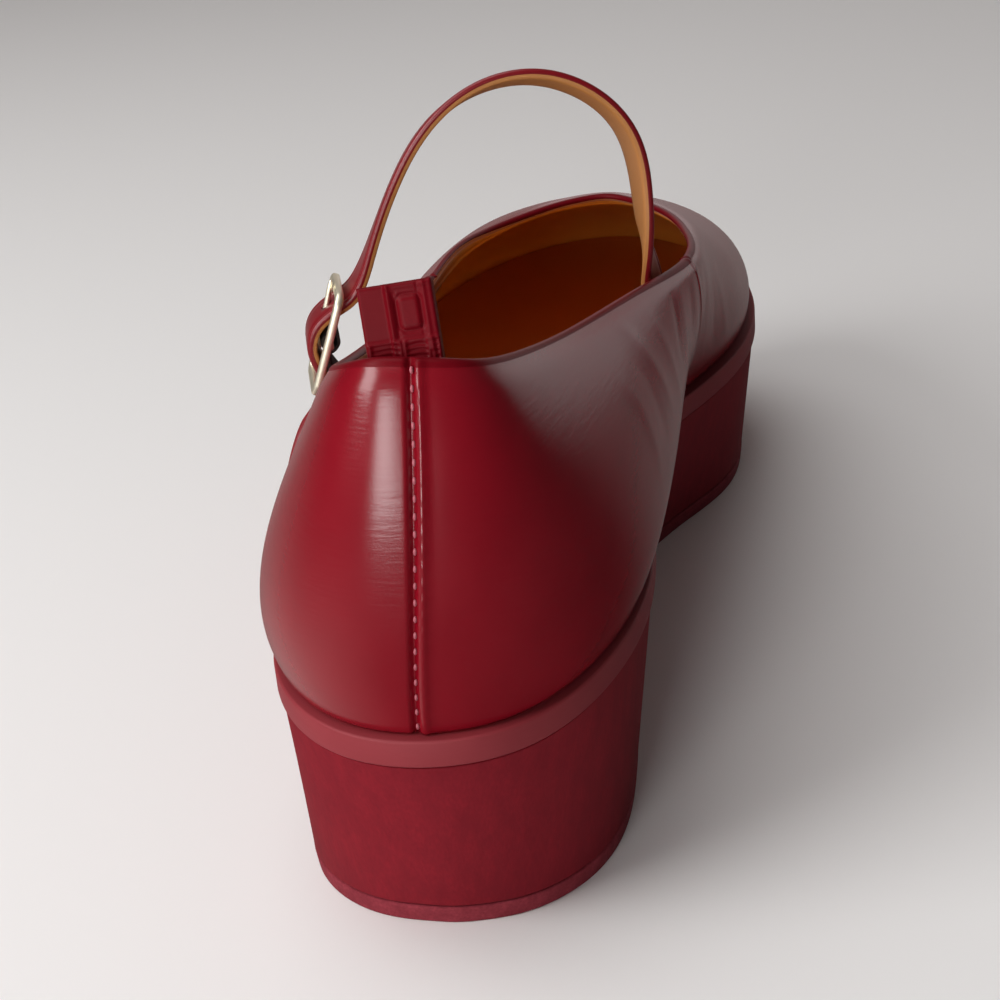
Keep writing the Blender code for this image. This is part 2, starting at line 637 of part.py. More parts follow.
def make_pull_tab():
    """Folded tab that stands up from inside the opening at the back; its fold is a low step."""
    inside = WALL + GAP + TAB_CLEARANCE + TAB_THICKNESS / 2 + TAB_FOLD
    turn = math.radians(TAB_TURN)
    level = np.array([math.cos(turn), math.sin(turn), 0.0])
    aside = -level * math.tan(math.radians(TAB_LEAN))
    shares = (1.0 - TAB_TUCK / BACK_HEIGHT, 1.0 - TAB_TUCK / BACK_HEIGHT / 2, 1.0)
    route = [wall_surface(TAB_STATION, share) - inside * wall_normal(TAB_STATION, share)
             - aside * BACK_HEIGHT * (1.0 - share) for share in shares]
    climb = unit(wall_surface(TAB_STATION, 1.0) - wall_surface(TAB_STATION, shares[1]))
    route += [route[-1] + (climb + aside) * TAB_HEIGHT * share for share in (0.5, 1.0)]
    line = along_path(route, TAB_SAMPLES)
    side, face = TAB_WIDTH / 2, TAB_THICKNESS / 2
    ridge = side - TAB_FOLD_SHARE * TAB_WIDTH
    section = [(side, face + TAB_FOLD), (ridge, face + TAB_FOLD), (ridge, face), (-side, face),
               (-side, -face), (side, -face)]
    points, faces = sweep(line, np.broadcast_to(level, line.shape), section)
    return add_object("pull_tab", points, faces, BURGUNDY)


clear_scene()
make_sole()
make_upper()
strap_plane = StrapPlane()
strap = make_strap(strap_plane)
make_buckle(strap_plane)
hole = make_prong(strap_plane)
anchor = make_anchor(strap_plane)
combine(strap, hole, "DIFFERENCE")
combine(anchor, hole, "DIFFERENCE")
make_pull_tab()
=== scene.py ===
"""Looks of the left mary jane shoe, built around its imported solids.

Every piece is worked out from the same sizes and stations as the solids: the table runs once around the
shoe, from the back seam over the inner side and the toe to the outer side. A point on the upper is a
station and a share of the wall's height; +Z is up, the toe points along +Y, the inner side is +X.
"""
import math
from collections import namedtuple

import bpy
import numpy as np
from mathutils import Matrix, Vector


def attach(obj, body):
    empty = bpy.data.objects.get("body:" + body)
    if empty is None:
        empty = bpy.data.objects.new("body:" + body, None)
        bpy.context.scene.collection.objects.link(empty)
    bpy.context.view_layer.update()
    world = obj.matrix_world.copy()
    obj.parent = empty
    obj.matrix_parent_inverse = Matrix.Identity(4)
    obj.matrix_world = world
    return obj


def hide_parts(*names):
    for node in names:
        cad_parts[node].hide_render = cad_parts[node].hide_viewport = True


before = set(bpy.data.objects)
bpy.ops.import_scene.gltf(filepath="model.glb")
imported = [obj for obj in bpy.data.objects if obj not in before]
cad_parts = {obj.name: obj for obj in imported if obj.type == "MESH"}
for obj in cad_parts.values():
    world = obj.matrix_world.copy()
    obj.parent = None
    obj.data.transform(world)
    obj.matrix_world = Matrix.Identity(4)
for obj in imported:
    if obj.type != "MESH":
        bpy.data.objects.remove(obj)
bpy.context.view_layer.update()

# Sizes of the shoe, in metres, as in its solids
LENGTH = 0.252
BALL_WIDTH = 0.091
HEEL_SEAT = 0.046
BALL_SEAT = 0.0395
TOE_SPRING = 0.005
BACK_HEIGHT = 0.0595
WALL = 0.0022
RIM_ROLL = 0.45
QUARTER_STEP = 0.0008
GAP = 0.0003
WELT_HEIGHT = 0.005
TREAD_HEIGHT = 0.0035
WELT_MARGIN = 0.0024
WELT_OVERHANG = 0.0006
SOLE_TAPER = 0.0035
TREAD_TAPER = 0.0003
INSOLE_THICKNESS = 0.0025
INSOLE_MARGIN = 0.0006
HEEL_SPOT = 0.159
DROP_START = 0.22
DROP_END = 0.64
SPRING_START = 0.72

STRAP_WIDTH = 0.010
STRAP_THICKNESS = 0.0018
STRAP_RISE = 0.0406
STRAP_TUCK = 0.012
TUCK_SLACK = 0.0008
TAIL_LENGTH = 0.011
STRAP_MEDIAL = 4.72
STRAP_LATERAL = 17.27

BUCKLE_LENGTH = 0.0206
BUCKLE_WIDTH = 0.0154
BUCKLE_BAR = 0.0015
BUCKLE_THICKNESS = 0.0012
BUCKLE_CORNER = 0.0028
BUCKLE_OUT = 0.0132
BUCKLE_DROP = 0.0012
BUCKLE_LEAN = 20.0
BAR_SINK = 0.0006
PRONG_THICKNESS = 0.0011
ANCHOR_WIDTH = 0.0088
ANCHOR_THICKNESS = 0.0006
ANCHOR_LENGTH = 0.013
ANCHOR_DROP = 0.0035
LIE_SLACK = 0.0008
ANCHOR_STATION = 17.27
ANCHOR_FOOT = 0.0096
ANCHOR_TOP = 0.60
ANCHOR_SLACK = 0.0007
LOOP_UP = 0.0018
LOOP_OUT = 0.0021
TAIL_TOP = 0.46

TAB_WIDTH = 0.0115
TAB_HEIGHT = 0.0120
TAB_THICKNESS = 0.0034
TAB_FOLD = 0.0006
TAB_TUCK = 0.010
TAB_STATION = 0.0
TAB_TURN = 8.0
TAB_LEAN = 6.0
TAB_CLEARANCE = 0.0020

NUDGE = 0.01              # in stations or shares, for slopes read off the curves
MM = 0.001

Station = namedtuple("Station", "along across top_along top_across top_rise lean rise reach drop taper")
# along, across: the welt's edge, in percent of LENGTH from the back and of BALL_WIDTH inward.
# top_along, top_across, top_rise: the opening's edge, the last in percent of BACK_HEIGHT.
# lean, rise, reach, drop: the wall's lower and upper bow, in percent of BACK_HEIGHT.
# taper: the platform's draw, in percent of SOLE_TAPER.
STATIONS = [Station(*row) for row in (
    (0.0, 2.2, 4.2, 2.7, 100.0, 3, 33, 12, 33, 362),
    (3.2, 20.0, 5.5, 12.5, 97.5, 8, 28, 12, 29, 308),
    (11.0, 31.0, 10.7, 17.4, 90.5, 13, 22, 13, 22, 133),
    (21.4, 35.0, 21.0, 22.9, 80.5, 15, 20, 14, 17, 120),
    (34.1, 31.6, 33.3, 30.6, 72.5, 20, 20, 12, 18, 142),
    (46.8, 26.4, 42.8, 37.0, 66.5, 20, 22, 7, 18, 180),
    (56.3, 28.0, 50.0, 38.5, 63.5, 19, 22, 8, 17, 230),
    (65.1, 37.0, 57.5, 34.8, 60.5, 15, 22, 14, 13, 230),
    (74.6, 44.1, 64.3, 28.2, 58.2, 11, 22, 21, 12, 128),
    (84.9, 44.2, 68.7, 19.4, 57.2, 8, 23, 27, 11, 98),
    (94.4, 33.5, 70.6, 11.7, 57.2, 6, 25, 37, 13, 85),
    (100.0, 7.7, 70.3, 5.0, 56.8, 5, 27, 50, 17, 90),
    (97.4, -21.0, 68.7, -1.6, 56.5, 6, 25, 40, 14, 90),
    (88.5, -43.0, 66.3, -8.2, 56.0, 8, 23, 29, 11, 90),
    (75.4, -53.6, 62.8, -15.2, 55.8, 7, 17, 15, 10, 95),
    (62.3, -52.6, 56.9, -20.2, 57.2, 5, 14, 5, 12, 100),
    (48.4, -47.0, 48.4, -21.4, 58.9, 6, 15, 3, 13, 90),
    (34.5, -41.2, 37.3, -20.4, 62.7, 8, 18, 7, 12, 60),
    (21.4, -37.8, 23.8, -19.8, 71.5, 12, 20, 9, 16, 20),
    (9.5, -32.5, 12.3, -16.5, 84.8, 14, 22, 11, 23, 66),
    (1.8, -17.5, 5.2, -6.6, 98.0, 8, 28, 13, 29, 300),
)]
COUNT = len(STATIONS)
MEDIAL_SEAM = 5.36
LATERAL_SEAM = 16.22
SEAM_SWEEP = 1.3
SEAM_BEND = 0.52
SEAM_REACH = 3.0

ArchPoint = namedtuple("ArchPoint", "run rise cant settled")
ARCH = [ArchPoint(*row) for row in (
    (0.086, 0.19, 4, -0.3),
    (0.092, 0.42, 6, -0.05),
    (0.128, 0.68, 10, 0.0),
    (0.240, 0.88, 16, 0.0),
    (0.430, 1.00, 20, 0.0),
    (0.640, 0.98, 18, 0.0),
    (0.820, 0.83, 12, 0.0),
    (0.950, 0.59, 9, 0.0),
    (1.045, 0.33, 6, 0.0),
)]
BucklePoint = namedtuple("BucklePoint", "up out settled")
WEAVE = [BucklePoint(*row) for row in (
    (0.97, -1.75, 0.0),
    (0.63, -0.40, 0.0),
    (0.30, 1.02, 0.0),
    (-0.02, 1.44, 0.0),
    (-0.36, 0.86, 0.0),
    (-0.68, -0.75, 0.2),
    (-1.04, -1.65, 0.5),
)]


# Curves and surfaces of the shoe

def column(name):
    return np.array([getattr(row, name) for row in STATIONS], float) / 100.0


def around(values, at):
    """Smooth closed curve through one value per station, read at station numbers."""
    count = len(values)
    matrix = 4.0 * np.eye(count) + np.roll(np.eye(count), 1, axis=1) + np.roll(np.eye(count), -1, axis=1)
    bend = np.linalg.solve(matrix, 6.0 * (np.roll(values, -1) - 2.0 * values + np.roll(values, 1)))
    at = np.mod(np.asarray(at, float), count)
    low = np.minimum(np.floor(at).astype(int), count - 1)
    high = (low + 1) % count
    step = at - low
    back = 1.0 - step
    return (back * values[low] + step * values[high]
            + ((back ** 3 - back) * bend[low] + (step ** 3 - step) * bend[high]) / 6.0)


def along_path(points, samples):
    """Smooth open curve through rows of x, y, z and any other values, sampled from end to end."""
    points = np.asarray(points, float)
    chords = np.linalg.norm(np.diff(points[:, :3], axis=0), axis=1)
    knots = np.concatenate([[0.0], np.cumsum(np.sqrt(chords))])
    count = len(points)
    matrix = np.eye(count)
    right = np.zeros_like(points)
    for index in range(1, count - 1):
        before = knots[index] - knots[index - 1]
        after = knots[index + 1] - knots[index]
        matrix[index, index - 1] = before
        matrix[index, index] = 2.0 * (before + after)
        matrix[index, index + 1] = after
        right[index] = 6.0 * ((points[index + 1] - points[index]) / after
                              - (points[index] - points[index - 1]) / before)
    bend = np.linalg.solve(matrix, right)
    at = np.linspace(0.0, knots[-1], samples)
    low = np.clip(np.searchsorted(knots, at, side="right") - 1, 0, count - 2)
    span = (knots[low + 1] - knots[low])[:, None]
    step = (at - knots[low])[:, None] / span
    back = 1.0 - step
    return (back * points[low] + step * points[low + 1]
            + ((back ** 3 - back) * bend[low] + (step ** 3 - step) * bend[low + 1]) * span ** 2 / 6.0)


def unit(vectors):
    return vectors / np.linalg.norm(vectors, axis=-1, keepdims=True)


def plan_curve(across_name, along_name, at):
    return (around(column(across_name) * BALL_WIDTH, at), around(column(along_name) * LENGTH, at))


def plan_outward(across_name, along_name, at):
    before = plan_curve(across_name, along_name, np.asarray(at) - NUDGE)
    after = plan_curve(across_name, along_name, np.asarray(at) + NUDGE)
    side = unit(np.stack([after[1] - before[1], before[0] - after[0]], axis=-1))
    return np.concatenate([side, np.zeros(side.shape[:-1] + (1,))], axis=-1)


def ease(share):
    share = np.clip(share, 0.0, 1.0)
    return share * share * (3.0 - 2.0 * share)


def floor_line(along):
    share = np.clip((along / LENGTH - SPRING_START) / (1.0 - SPRING_START), 0.0, 1.0)
    return TOE_SPRING * share ** 2


def seat_line(along):
    share = (along / LENGTH - DROP_START) / (DROP_END - DROP_START)
    return HEEL_SEAT + (BALL_SEAT - HEEL_SEAT) * ease(share) + floor_line(along)


def sole_loop(at, inset):
    across, along = plan_curve("across", "along", at)
    loop = np.stack([across, along, np.zeros_like(across)], axis=-1)
    return loop - plan_outward("across", "along", at) * np.asarray(inset).reshape(-1, 1)


def wall_surface(at, up):
    """Outer face of the upper: at = station number, up = 0 on the welt to 1 at the opening."""
    at, up = np.broadcast_arrays(np.asarray(at, float), np.asarray(up, float))
    foot_out = plan_outward("across", "along", at)
    across, along = plan_curve("across", "along", at)
    foot = np.stack([across, along, np.zeros_like(across)], axis=-1) - foot_out * WELT_MARGIN
    foot[..., 2] = seat_line(foot[..., 1]) + GAP
    top_out = plan_outward("top_across", "top_along", at)
    across, along = plan_curve("top_across", "top_along", at)
    top = np.stack([across, along, HEEL_SEAT + around(column("top_rise") * BACK_HEIGHT, at)], axis=-1)
    lift = np.array([0.0, 0.0, 1.0])
    bows = {name: around(column(name) * BACK_HEIGHT, at)[..., None]
            for name in ("lean", "rise", "reach", "drop")}
    low = foot + foot_out * bows["lean"] + lift * bows["rise"]
    high = top + top_out * bows["reach"] - lift * bows["drop"]
    up = up[..., None]
    down = 1.0 - up
    return down ** 3 * foot + 3 * down ** 2 * up * low + 3 * down * up ** 2 * high + up ** 3 * top


def wall_normal(at, up):
    at, up = np.broadcast_arrays(np.asarray(at, float), np.asarray(up, float))
    around_step = wall_surface(at + NUDGE, up) - wall_surface(at - NUDGE, up)
    up_step = wall_surface(at, np.minimum(up + NUDGE, 1.0)) - wall_surface(at, np.maximum(up - NUDGE, 0.0))
    return unit(np.cross(around_step, up_step))


# Meshes

TO_FRAME = np.array([0.0, -HEEL_SPOT * LENGTH, 0.0])      # the frame's origin is under the heel


def add_object(name, data):
    made = bpy.data.objects.new(name, data)
    bpy.context.scene.collection.objects.link(made)
    return made


def make_plain(piece):
    """Keep the mesh that the piece's modifiers make, without them."""
    graph = bpy.context.evaluated_depsgraph_get()
    mesh = bpy.data.meshes.new_from_object(piece.evaluated_get(graph))
    piece.modifiers.clear()
    piece.data = mesh


def mesh_piece(name, points, faces, materials, face_slots=None, uvs=None, sharp=None):
    """A mesh in the row's own frame, moved to the frame under the heel."""
    points = np.asarray(points, float) + TO_FRAME
    mesh = bpy.data.meshes.new(name)
    mesh.from_pydata(points.tolist(), [], [tuple(map(int, face)) for face in faces])
    for surface in materials:
        mesh.materials.append(surface)
    if face_slots is not None:
        mesh.polygons.foreach_set("material_index", np.asarray(face_slots, np.int32))
    if uvs is not None:
        layer = mesh.uv_layers.new(name="surface")
        corners = np.zeros(len(mesh.loops), np.int32)
        mesh.loops.foreach_get("vertex_index", corners)
        layer.data.foreach_set("uv", np.asarray(uvs, np.float32)[corners].ravel())
    mesh.update()
    mesh.shade_smooth()
    if sharp:
        mesh.set_sharp_from_angle(angle=math.radians(sharp))
    return add_object(name, mesh)


def keep_piece(piece, slot, *nodes):
    """Hand a finished piece to the frame: its body and the solids that it stands for. Its slot is not used."""
    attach(piece, "root")
    if nodes:
        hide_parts(*nodes)


def ring_faces(first, second, count):
    return [(first + index, first + (index + 1) % count, second + (index + 1) % count, second + index)
            for index in range(count)]


def outward_faces(points, faces):
    """The same faces, all turned over if the closed body they make is inside out."""
    points = np.asarray(points)
    volume = 0.0
    for face in faces:
        for index in range(1, len(face) - 1):
            volume += np.dot(points[face[0]], np.cross(points[face[index]], points[face[index + 1]]))
    return faces if volume > 0 else [face[::-1] for face in faces]


# Materials

def hex_colour(text):
    """Linear colour of an sRGB hex value."""
    parts = [int(text[index:index + 2], 16) / 255.0 for index in (1, 3, 5)]
    return tuple(part / 12.92 if part <= 0.04045 else ((part + 0.055) / 1.055) ** 2.4
                 for part in parts) + (1.0,)


def add_node(tree, kind, inputs=None, **settings):
    """One shader or geometry node with its settings, values and links."""
    made = tree.nodes.new(kind)
    for name, value in settings.items():
        setattr(made, name, value)
    for key, value in (inputs or {}).items():
        if isinstance(value, bpy.types.NodeSocket):
            tree.links.new(value, made.inputs[key])
        else:
            made.inputs[key].default_value = value
    return made


def new_material(name):
    made = bpy.data.materials.new(name)
    made.use_nodes = True
    made.node_tree.nodes.clear()
    return made, made.node_tree


def finish_material(made, tree, inputs, tones=None, relief=None):
    """Close a material. Tones are a share, the dark and the light colour; relief is a height, its strength
    and its distance in millimetres."""
    if tones:
        share, dark, light = tones
        blend = add_node(tree, "ShaderNodeMix", {"Factor": share, "A": hex_colour(dark),
                                                 "B": hex_colour(light)}, data_type="RGBA")
        inputs["Base Color"] = blend.outputs["Result"]
    if relief:
        height, strength, distance = relief
        inputs["Normal"] = add_node(tree, "ShaderNodeBump", {"Height": height, "Strength": strength,
                                                             "Distance": distance * MM}).outputs[0]
    shader = add_node(tree, "ShaderNodeBsdfPrincipled", inputs)
    add_node(tree, "ShaderNodeOutputMaterial", {"Surface": shader.outputs[0]})
    return made


CREASES_OVER_PORES = 4.5  # share of the leather's relief


def calf_leather(name, light, dark, roughness, grain=0.5, shine=0.5, heel_shade_toe_light=False):
    """Smooth finished calf: fine grain half a millimetre apart, faint creases that lie level around the
    foot, a semi-gloss face and slow changes of tone where the hide has been stretched. The grain is drawn
    coarser than real pores, which are too fine to show."""
    made, tree = new_material(name)
    place = add_node(tree, "ShaderNodeTexCoord").outputs["Object"]
    # Creases are seven times as long around the foot as they are high
    level = add_node(tree, "ShaderNodeMapping", {"Vector": place, "Scale": (0.14, 0.14, 1.0)}).outputs[0]
    tone = add_node(tree, "ShaderNodeTexNoise", {"Vector": place, "Scale": 1 / (22 * MM), "Detail": 3.0})
    share = tone.outputs["Fac"]
    if heel_shade_toe_light:        # painted shade toward the heel, deep in the shoe, and painted light toward the toe, where the opening lets light in
        along = add_node(tree, "ShaderNodeSeparateXYZ", {0: place}).outputs["Y"]
        share = add_node(tree, "ShaderNodeMapRange", {"Value": along, "From Min": 80 * MM,
                                                      "From Max": 125 * MM}).outputs[0]
    pores = add_node(tree, "ShaderNodeTexNoise", {"Vector": place, "Scale": 1 / (grain * MM), "Detail": 2.0})
    creasing = add_node(tree, "ShaderNodeTexNoise", {"Vector": level, "Scale": 1 / (0.7 * MM), "Detail": 2.0})
    height = add_node(tree, "ShaderNodeMath", {0: creasing.outputs["Fac"], 1: CREASES_OVER_PORES,
                                               2: pores.outputs["Fac"]}, operation="MULTIPLY_ADD")
    wear = add_node(tree, "ShaderNodeMapRange", {"Value": tone.outputs["Fac"], "To Min": roughness - 0.04,
                                                 "To Max": roughness + 0.05})
    return finish_material(made, tree, {"Specular IOR Level": shine, "Roughness": wear.outputs["Result"],
                                        "IOR": 1.5}, (share, dark, light), (height.outputs[0], 0.08, 0.08))


def nubuck(name, light, dark, streak):
    """Brushed, matte covering: short fibres in soft upright streaks and no shine."""
    made, tree = new_material(name)
    place = add_node(tree, "ShaderNodeTexCoord").outputs["Object"]
    place = add_node(tree, "ShaderNodeMapping", {"Vector": place, "Scale": (1.0, 1.0, streak)}).outputs[0]
    fibre, tone = (add_node(tree, "ShaderNodeTexNoise", {"Vector": place, "Scale": 1 / (size * MM),
                                                         "Detail": detail}).outputs["Fac"]
                   for size, detail in ((0.5, 5.0), (2.5, 3.0)))
    blend = add_node(tree, "ShaderNodeMath", {0: fibre, 1: tone}, operation="MULTIPLY")
    share = add_node(tree, "ShaderNodeMapRange", {"Value": blend.outputs[0], "From Min": 0.12,
                                                  "From Max": 0.42})
    return finish_material(made, tree, {"Roughness": 0.8, "Specular IOR Level": 0.15},
                           (share.outputs[0], dark, light), (fibre, 0.35, 0.1))


def plated_brass(name, colour_hex, roughness):
    """Polished cast brass under pale plating, with hairline scratches."""
    made, tree = new_material(name)
    place = add_node(tree, "ShaderNodeTexCoord").outputs["Object"]
    haze = add_node(tree, "ShaderNodeTexNoise", {"Vector": place, "Scale": 1 / (1.2 * MM),
                                                 "Detail": 3.0}).outputs["Fac"]
    wear = add_node(tree, "ShaderNodeMapRange", {"Value": haze, "To Min": roughness - 0.08,
                                                 "To Max": roughness + 0.10})
    return finish_material(made, tree, {"Base Color": hex_colour(colour_hex), "Metallic": 1.0,
                                        "Roughness": wear.outputs["Result"]}, relief=(haze, 0.05, 0.02))


def woven_elastic(name, light, dark):
    """Flat braided elastic, matte: ribs a millimetre apart along the band, because a wave repeats every
    2 pi / 20 of its scale, and threads between them."""
    made, tree = new_material(name)
    place = add_node(tree, "ShaderNodeTexCoord").outputs["UV"]
    ribs = add_node(tree, "ShaderNodeTexWave", {"Vector": place, "Scale": 1 / (3.2 * MM), "Distortion": 0.4},
                    bands_direction="Y").outputs["Fac"]
    threads = add_node(tree, "ShaderNodeTexNoise", {"Vector": place, "Scale": 1 / (0.3 * MM)}).outputs["Fac"]
    both = add_node(tree, "ShaderNodeMath", {0: ribs, 1: threads}, operation="ADD")
    return finish_material(made, tree, {"Roughness": 0.85}, (ribs, dark, light), (both.outputs[0], 0.6, 0.12))


BURGUNDY = calf_leather("burgundy calf leather", "#820719", "#6a0412", 0.25)
# Painted shade: a darker copy of the burgundy calf for the pull tab and the opening's rim, standing in for the
# shade they lie in
TAB_CALF_PAINTED_SHADE = calf_leather("burgundy tab leather darkened as painted shade", "#6c0714", "#58040d", 0.40, shine=0.08)
STRAP_CALF = calf_leather("burgundy strap leather", "#7e0a16", "#66040f", 0.34)
# Painted light and shade: the lining runs from dark at the heel to bright toward the toe
TAN_LINING = calf_leather("tan pigskin lining", "#ffbc54", "#8e4418", 0.40, grain=0.6, heel_shade_toe_light=True)
# Painted shade: a near-black copy of the burgundy calf, put on the faces beside each quarter's edge for the
# shadow in its groove
SEAM_SHADE_CALF = calf_leather("burgundy leather darkened as painted shade in a seam", "#2c0208", "#200106", 0.7, shine=0.2)
# The lining's cut edge along the rim, painted pale: partly the edge's own tone, partly a painted highlight
# along the rim
RAW_EDGE_AND_HIGHLIGHT = calf_leather("cut edge of the lining, paler as a painted highlight", "#d9a184", "#c68b6c", 0.6)
# Painted shade: the strap's lining is toned down to stand in for the shade under the strap
STRAP_LINING_IN_SHADE = calf_leather("tan strap lining darkened as painted shade", "#c08048", "#a06830", 0.55, grain=0.7)
WELT_SURFACE = calf_leather("dusty red welt leather", "#8a2a31", "#7a222a", 0.62, shine=0.35)
PLATFORM_SURFACE = nubuck("brushed red platform cover", "#7a1420", "#6c101c", 0.25)
TREAD_SURFACE = nubuck("dusty red tread rubber", "#86303a", "#6e222b", 1.0)
# Painted light and shade: the insole runs from dark at the heel to lighter toward the toe
INSOLE_SURFACE = calf_leather("tan sock leather", "#c87c3c", "#84401c", 0.45, grain=0.6, heel_shade_toe_light=True)
BUCKLE_METAL = plated_brass("pale gold plated brass", "#f6efd8", 0.46)
# Near-black: partly the elastic's own dark colour, partly painted shade between the buckle and the quarter
ELASTIC_AND_SHADE = woven_elastic("dark brown elastic, partly painted shade", "#2a1c18", "#0d0807")
THREAD = calf_leather("waxed pink thread", "#b0606a", "#944650", 0.5)


# Upper

Fold = namedtuple("Fold", "depth width path")
# Soft folds of the upper: depth and half width in millimetres, negative for a trough, and a path of
# station and height pairs.
FOLDS = [Fold(*row) for row in (
    (-0.24, 1.0, [(4.50, 0.94), (4.42, 0.84), (4.33, 0.72), (4.28, 0.60)]),
    (0.14, 1.9, [(4.72, 0.95), (4.60, 0.80), (4.50, 0.64), (4.46, 0.48)]),
    (-0.11, 1.5, [(4.96, 0.92), (4.86, 0.76), (4.80, 0.60)]),
    (0.11, 1.5, [(5.12, 0.94), (5.06, 0.74), (5.10, 0.52), (5.30, 0.34)]),
    (0.20, 1.6, [(3.50, 0.92), (3.62, 0.80), (3.70, 0.66), (3.74, 0.50)]),
    (-0.14, 2.0, [(3.36, 0.84), (3.46, 0.70), (3.48, 0.56), (3.46, 0.42)]),
    (0.12, 2.0, [(3.10, 0.78), (3.22, 0.64), (3.22, 0.50), (3.18, 0.36)]),
    (0.14, 1.5, [(3.95, 0.90), (4.00, 0.74), (4.02, 0.58), (4.06, 0.40)]),
    (-0.16, 1.4, [(5.86, 0.88), (5.86, 0.66), (5.96, 0.44), (6.26, 0.20)]),
    (0.16, 1.5, [(6.10, 0.92), (6.10, 0.68), (6.26, 0.44), (6.60, 0.18)]),
    (-0.14, 1.6, [(6.44, 0.88), (6.46, 0.66), (6.64, 0.40), (6.95, 0.16)]),
    (0.12, 1.8, [(6.80, 0.84), (6.86, 0.60), (7.05, 0.36), (7.30, 0.14)]),
    (-0.34, 1.3, [(16.90, 0.92), (17.00, 0.76), (17.10, 0.58)]),
    (0.20, 1.7, [(16.62, 0.94), (16.66, 0.74), (16.60, 0.54), (16.44, 0.34)]),
    (0.18, 1.6, [(15.80, 0.90), (15.82, 0.70), (15.74, 0.50), (15.48, 0.28)]),
    (-0.14, 1.6, [(15.50, 0.88), (15.52, 0.66), (15.38, 0.44), (15.08, 0.22)]),
)]
# Ridges, and grooves where the height is negative, in millimetres: how high, how far from their line (the
# seam, the opening's edge or the welt) and how wide to each side.
Ridge = namedtuple("Ridge", "height place width")
QUARTER_EDGE = [Ridge(0.15, -1.0, 0.7), Ridge(-1.20, 0.50, 0.42), Ridge(0.22, 2.3, 0.9)]
BACK_GROOVE = [Ridge(-0.85, 0.05, 0.62)]
BACK_PUCKERS = [Ridge(0.42, 1.5, 0.85)]
WELT_CREASE = [Ridge(-0.40, 0.0, 0.9)]
TURNED_EDGE = [Ridge(-0.50, 0.0, 2.6)]
LINING_EDGE = [Ridge(-0.30, 0.0, 1.0), Ridge(0.25, 3.0, 1.4), Ridge(0.55, 6.6, 0.5), Ridge(-0.30, 7.8, 0.5)]
QUARTER_BEVEL = 0.35 * MM # the quarter's edge rises over this width
# Painted shade: a strip beside the quarter's edge stands in for the shadow in its groove
SEAM_SHADE_PLACE = 0.55 * MM      # middle of the dark strip beside the quarter's edge,
SEAM_SHADE_HALF = 0.30 * MM       # and half its width
BACK_SEAM_TOP = 0.10      # stations that the back seam wanders from the middle, at the opening
BACK_SEAM_FOOT = -0.08    # and at the welt
BACK_SEAM_WIDTH = 0.8     # stations to each side that follow it
STITCH_PITCH = 2.7 * MM
PUCKER = 0.12             # how much each stitch draws the seam's edge in, as a share of its height
FOLD_FADE = 7 * MM        # folds fade out this close to the opening
OUTER_ROWS = 110
RIM_ROWS = 7
# Depths of the lining's rows below the opening, close together where the lining has its seam
LINING_DEPTHS = (0.0, 0.5, 0.9, 0.95, 1.4, 2.2, 3.2, 4.4, 5.6, 6.2, 6.6, 7.0, 7.4, 7.8, 8.4, 9.6)
LOWER_LINING_ROWS = 25
# The rim's slot takes the darker tab leather as painted shade along the opening
LEATHER, LINING, CUT_EDGE_AND_HIGHLIGHT, SEAM_PAINTED_SHADE, RIM_IN_PAINTED_SHADE = range(5)    # the upper's materials


def fine_lines():
    """Station numbers of the mesh lines: even, and closer together at the three seams."""
    lines = [np.arange(0.0, COUNT, 0.05)]
    close = np.arange(-0.15, 0.151, 0.0075)
    for seam in (0.0, MEDIAL_SEAM, LATERAL_SEAM):
        lines.append(np.mod(seam + close, COUNT))
    return np.unique(np.round(np.concatenate(lines), 4))


def back_seam_at(up):
    return BACK_SEAM_FOOT + (BACK_SEAM_TOP - BACK_SEAM_FOOT) * up


def line_at(line, up):
    """Station of a mesh line at a height: lines near a seam follow it on its way down."""
    sweep_down = SEAM_SWEEP * np.maximum(0.0, 1.0 - up / SEAM_BEND) ** 1.5
    at = line
    for seam, way in ((MEDIAL_SEAM, 1.0), (LATERAL_SEAM, -1.0)):
        near = np.maximum(0.0, 1.0 - ((line - seam) / SEAM_REACH) ** 2) ** 2
        at = at + way * near * sweep_down
    from_back = line - COUNT * np.round(line / COUNT)
    near = np.maximum(0.0, 1.0 - (from_back / BACK_SEAM_WIDTH) ** 2) ** 2
    return at + near * back_seam_at(up)


def wall_lengths(lines):
    """Length of the wall from the welt to the opening along each mesh line."""
    shares = np.linspace(0.0, 1.0, 17)
    points = np.stack([wall_surface(line_at(lines, share), share) for share in shares])
    return np.linalg.norm(np.diff(points, axis=0), axis=2).sum(axis=0)


def bell(distance, width):
    return np.exp(-(distance / width) ** 2)


def ridges(distance, rows):
    return sum(row.height * MM * bell(distance - row.place * MM, row.width * MM) for row in rows)


def fold_relief(points):
    """Height of the soft folds over a grid of points on the wall."""
    height = np.zeros(points.shape[:-1])
    count = 30
    for fold in FOLDS:
        route = np.array(fold.path)
        steps = np.linspace(0, len(route) - 1, count)
        index = np.minimum(steps.astype(int), len(route) - 2)
        part = (steps - index)[:, None]
        route = route[index] * (1 - part) + route[index + 1] * part
        trail = wall_surface(route[:, 0], route[:, 1])
        strength = np.sin(np.pi * (np.arange(count) + 0.5) / count) ** 0.7
        reach = np.linalg.norm(points[..., None, :] - trail, axis=-1)
        nearest = np.argmin(reach, axis=-1)
        height += fold.depth * MM * strength[nearest] * bell(reach.min(axis=-1), fold.width * MM)
    return height


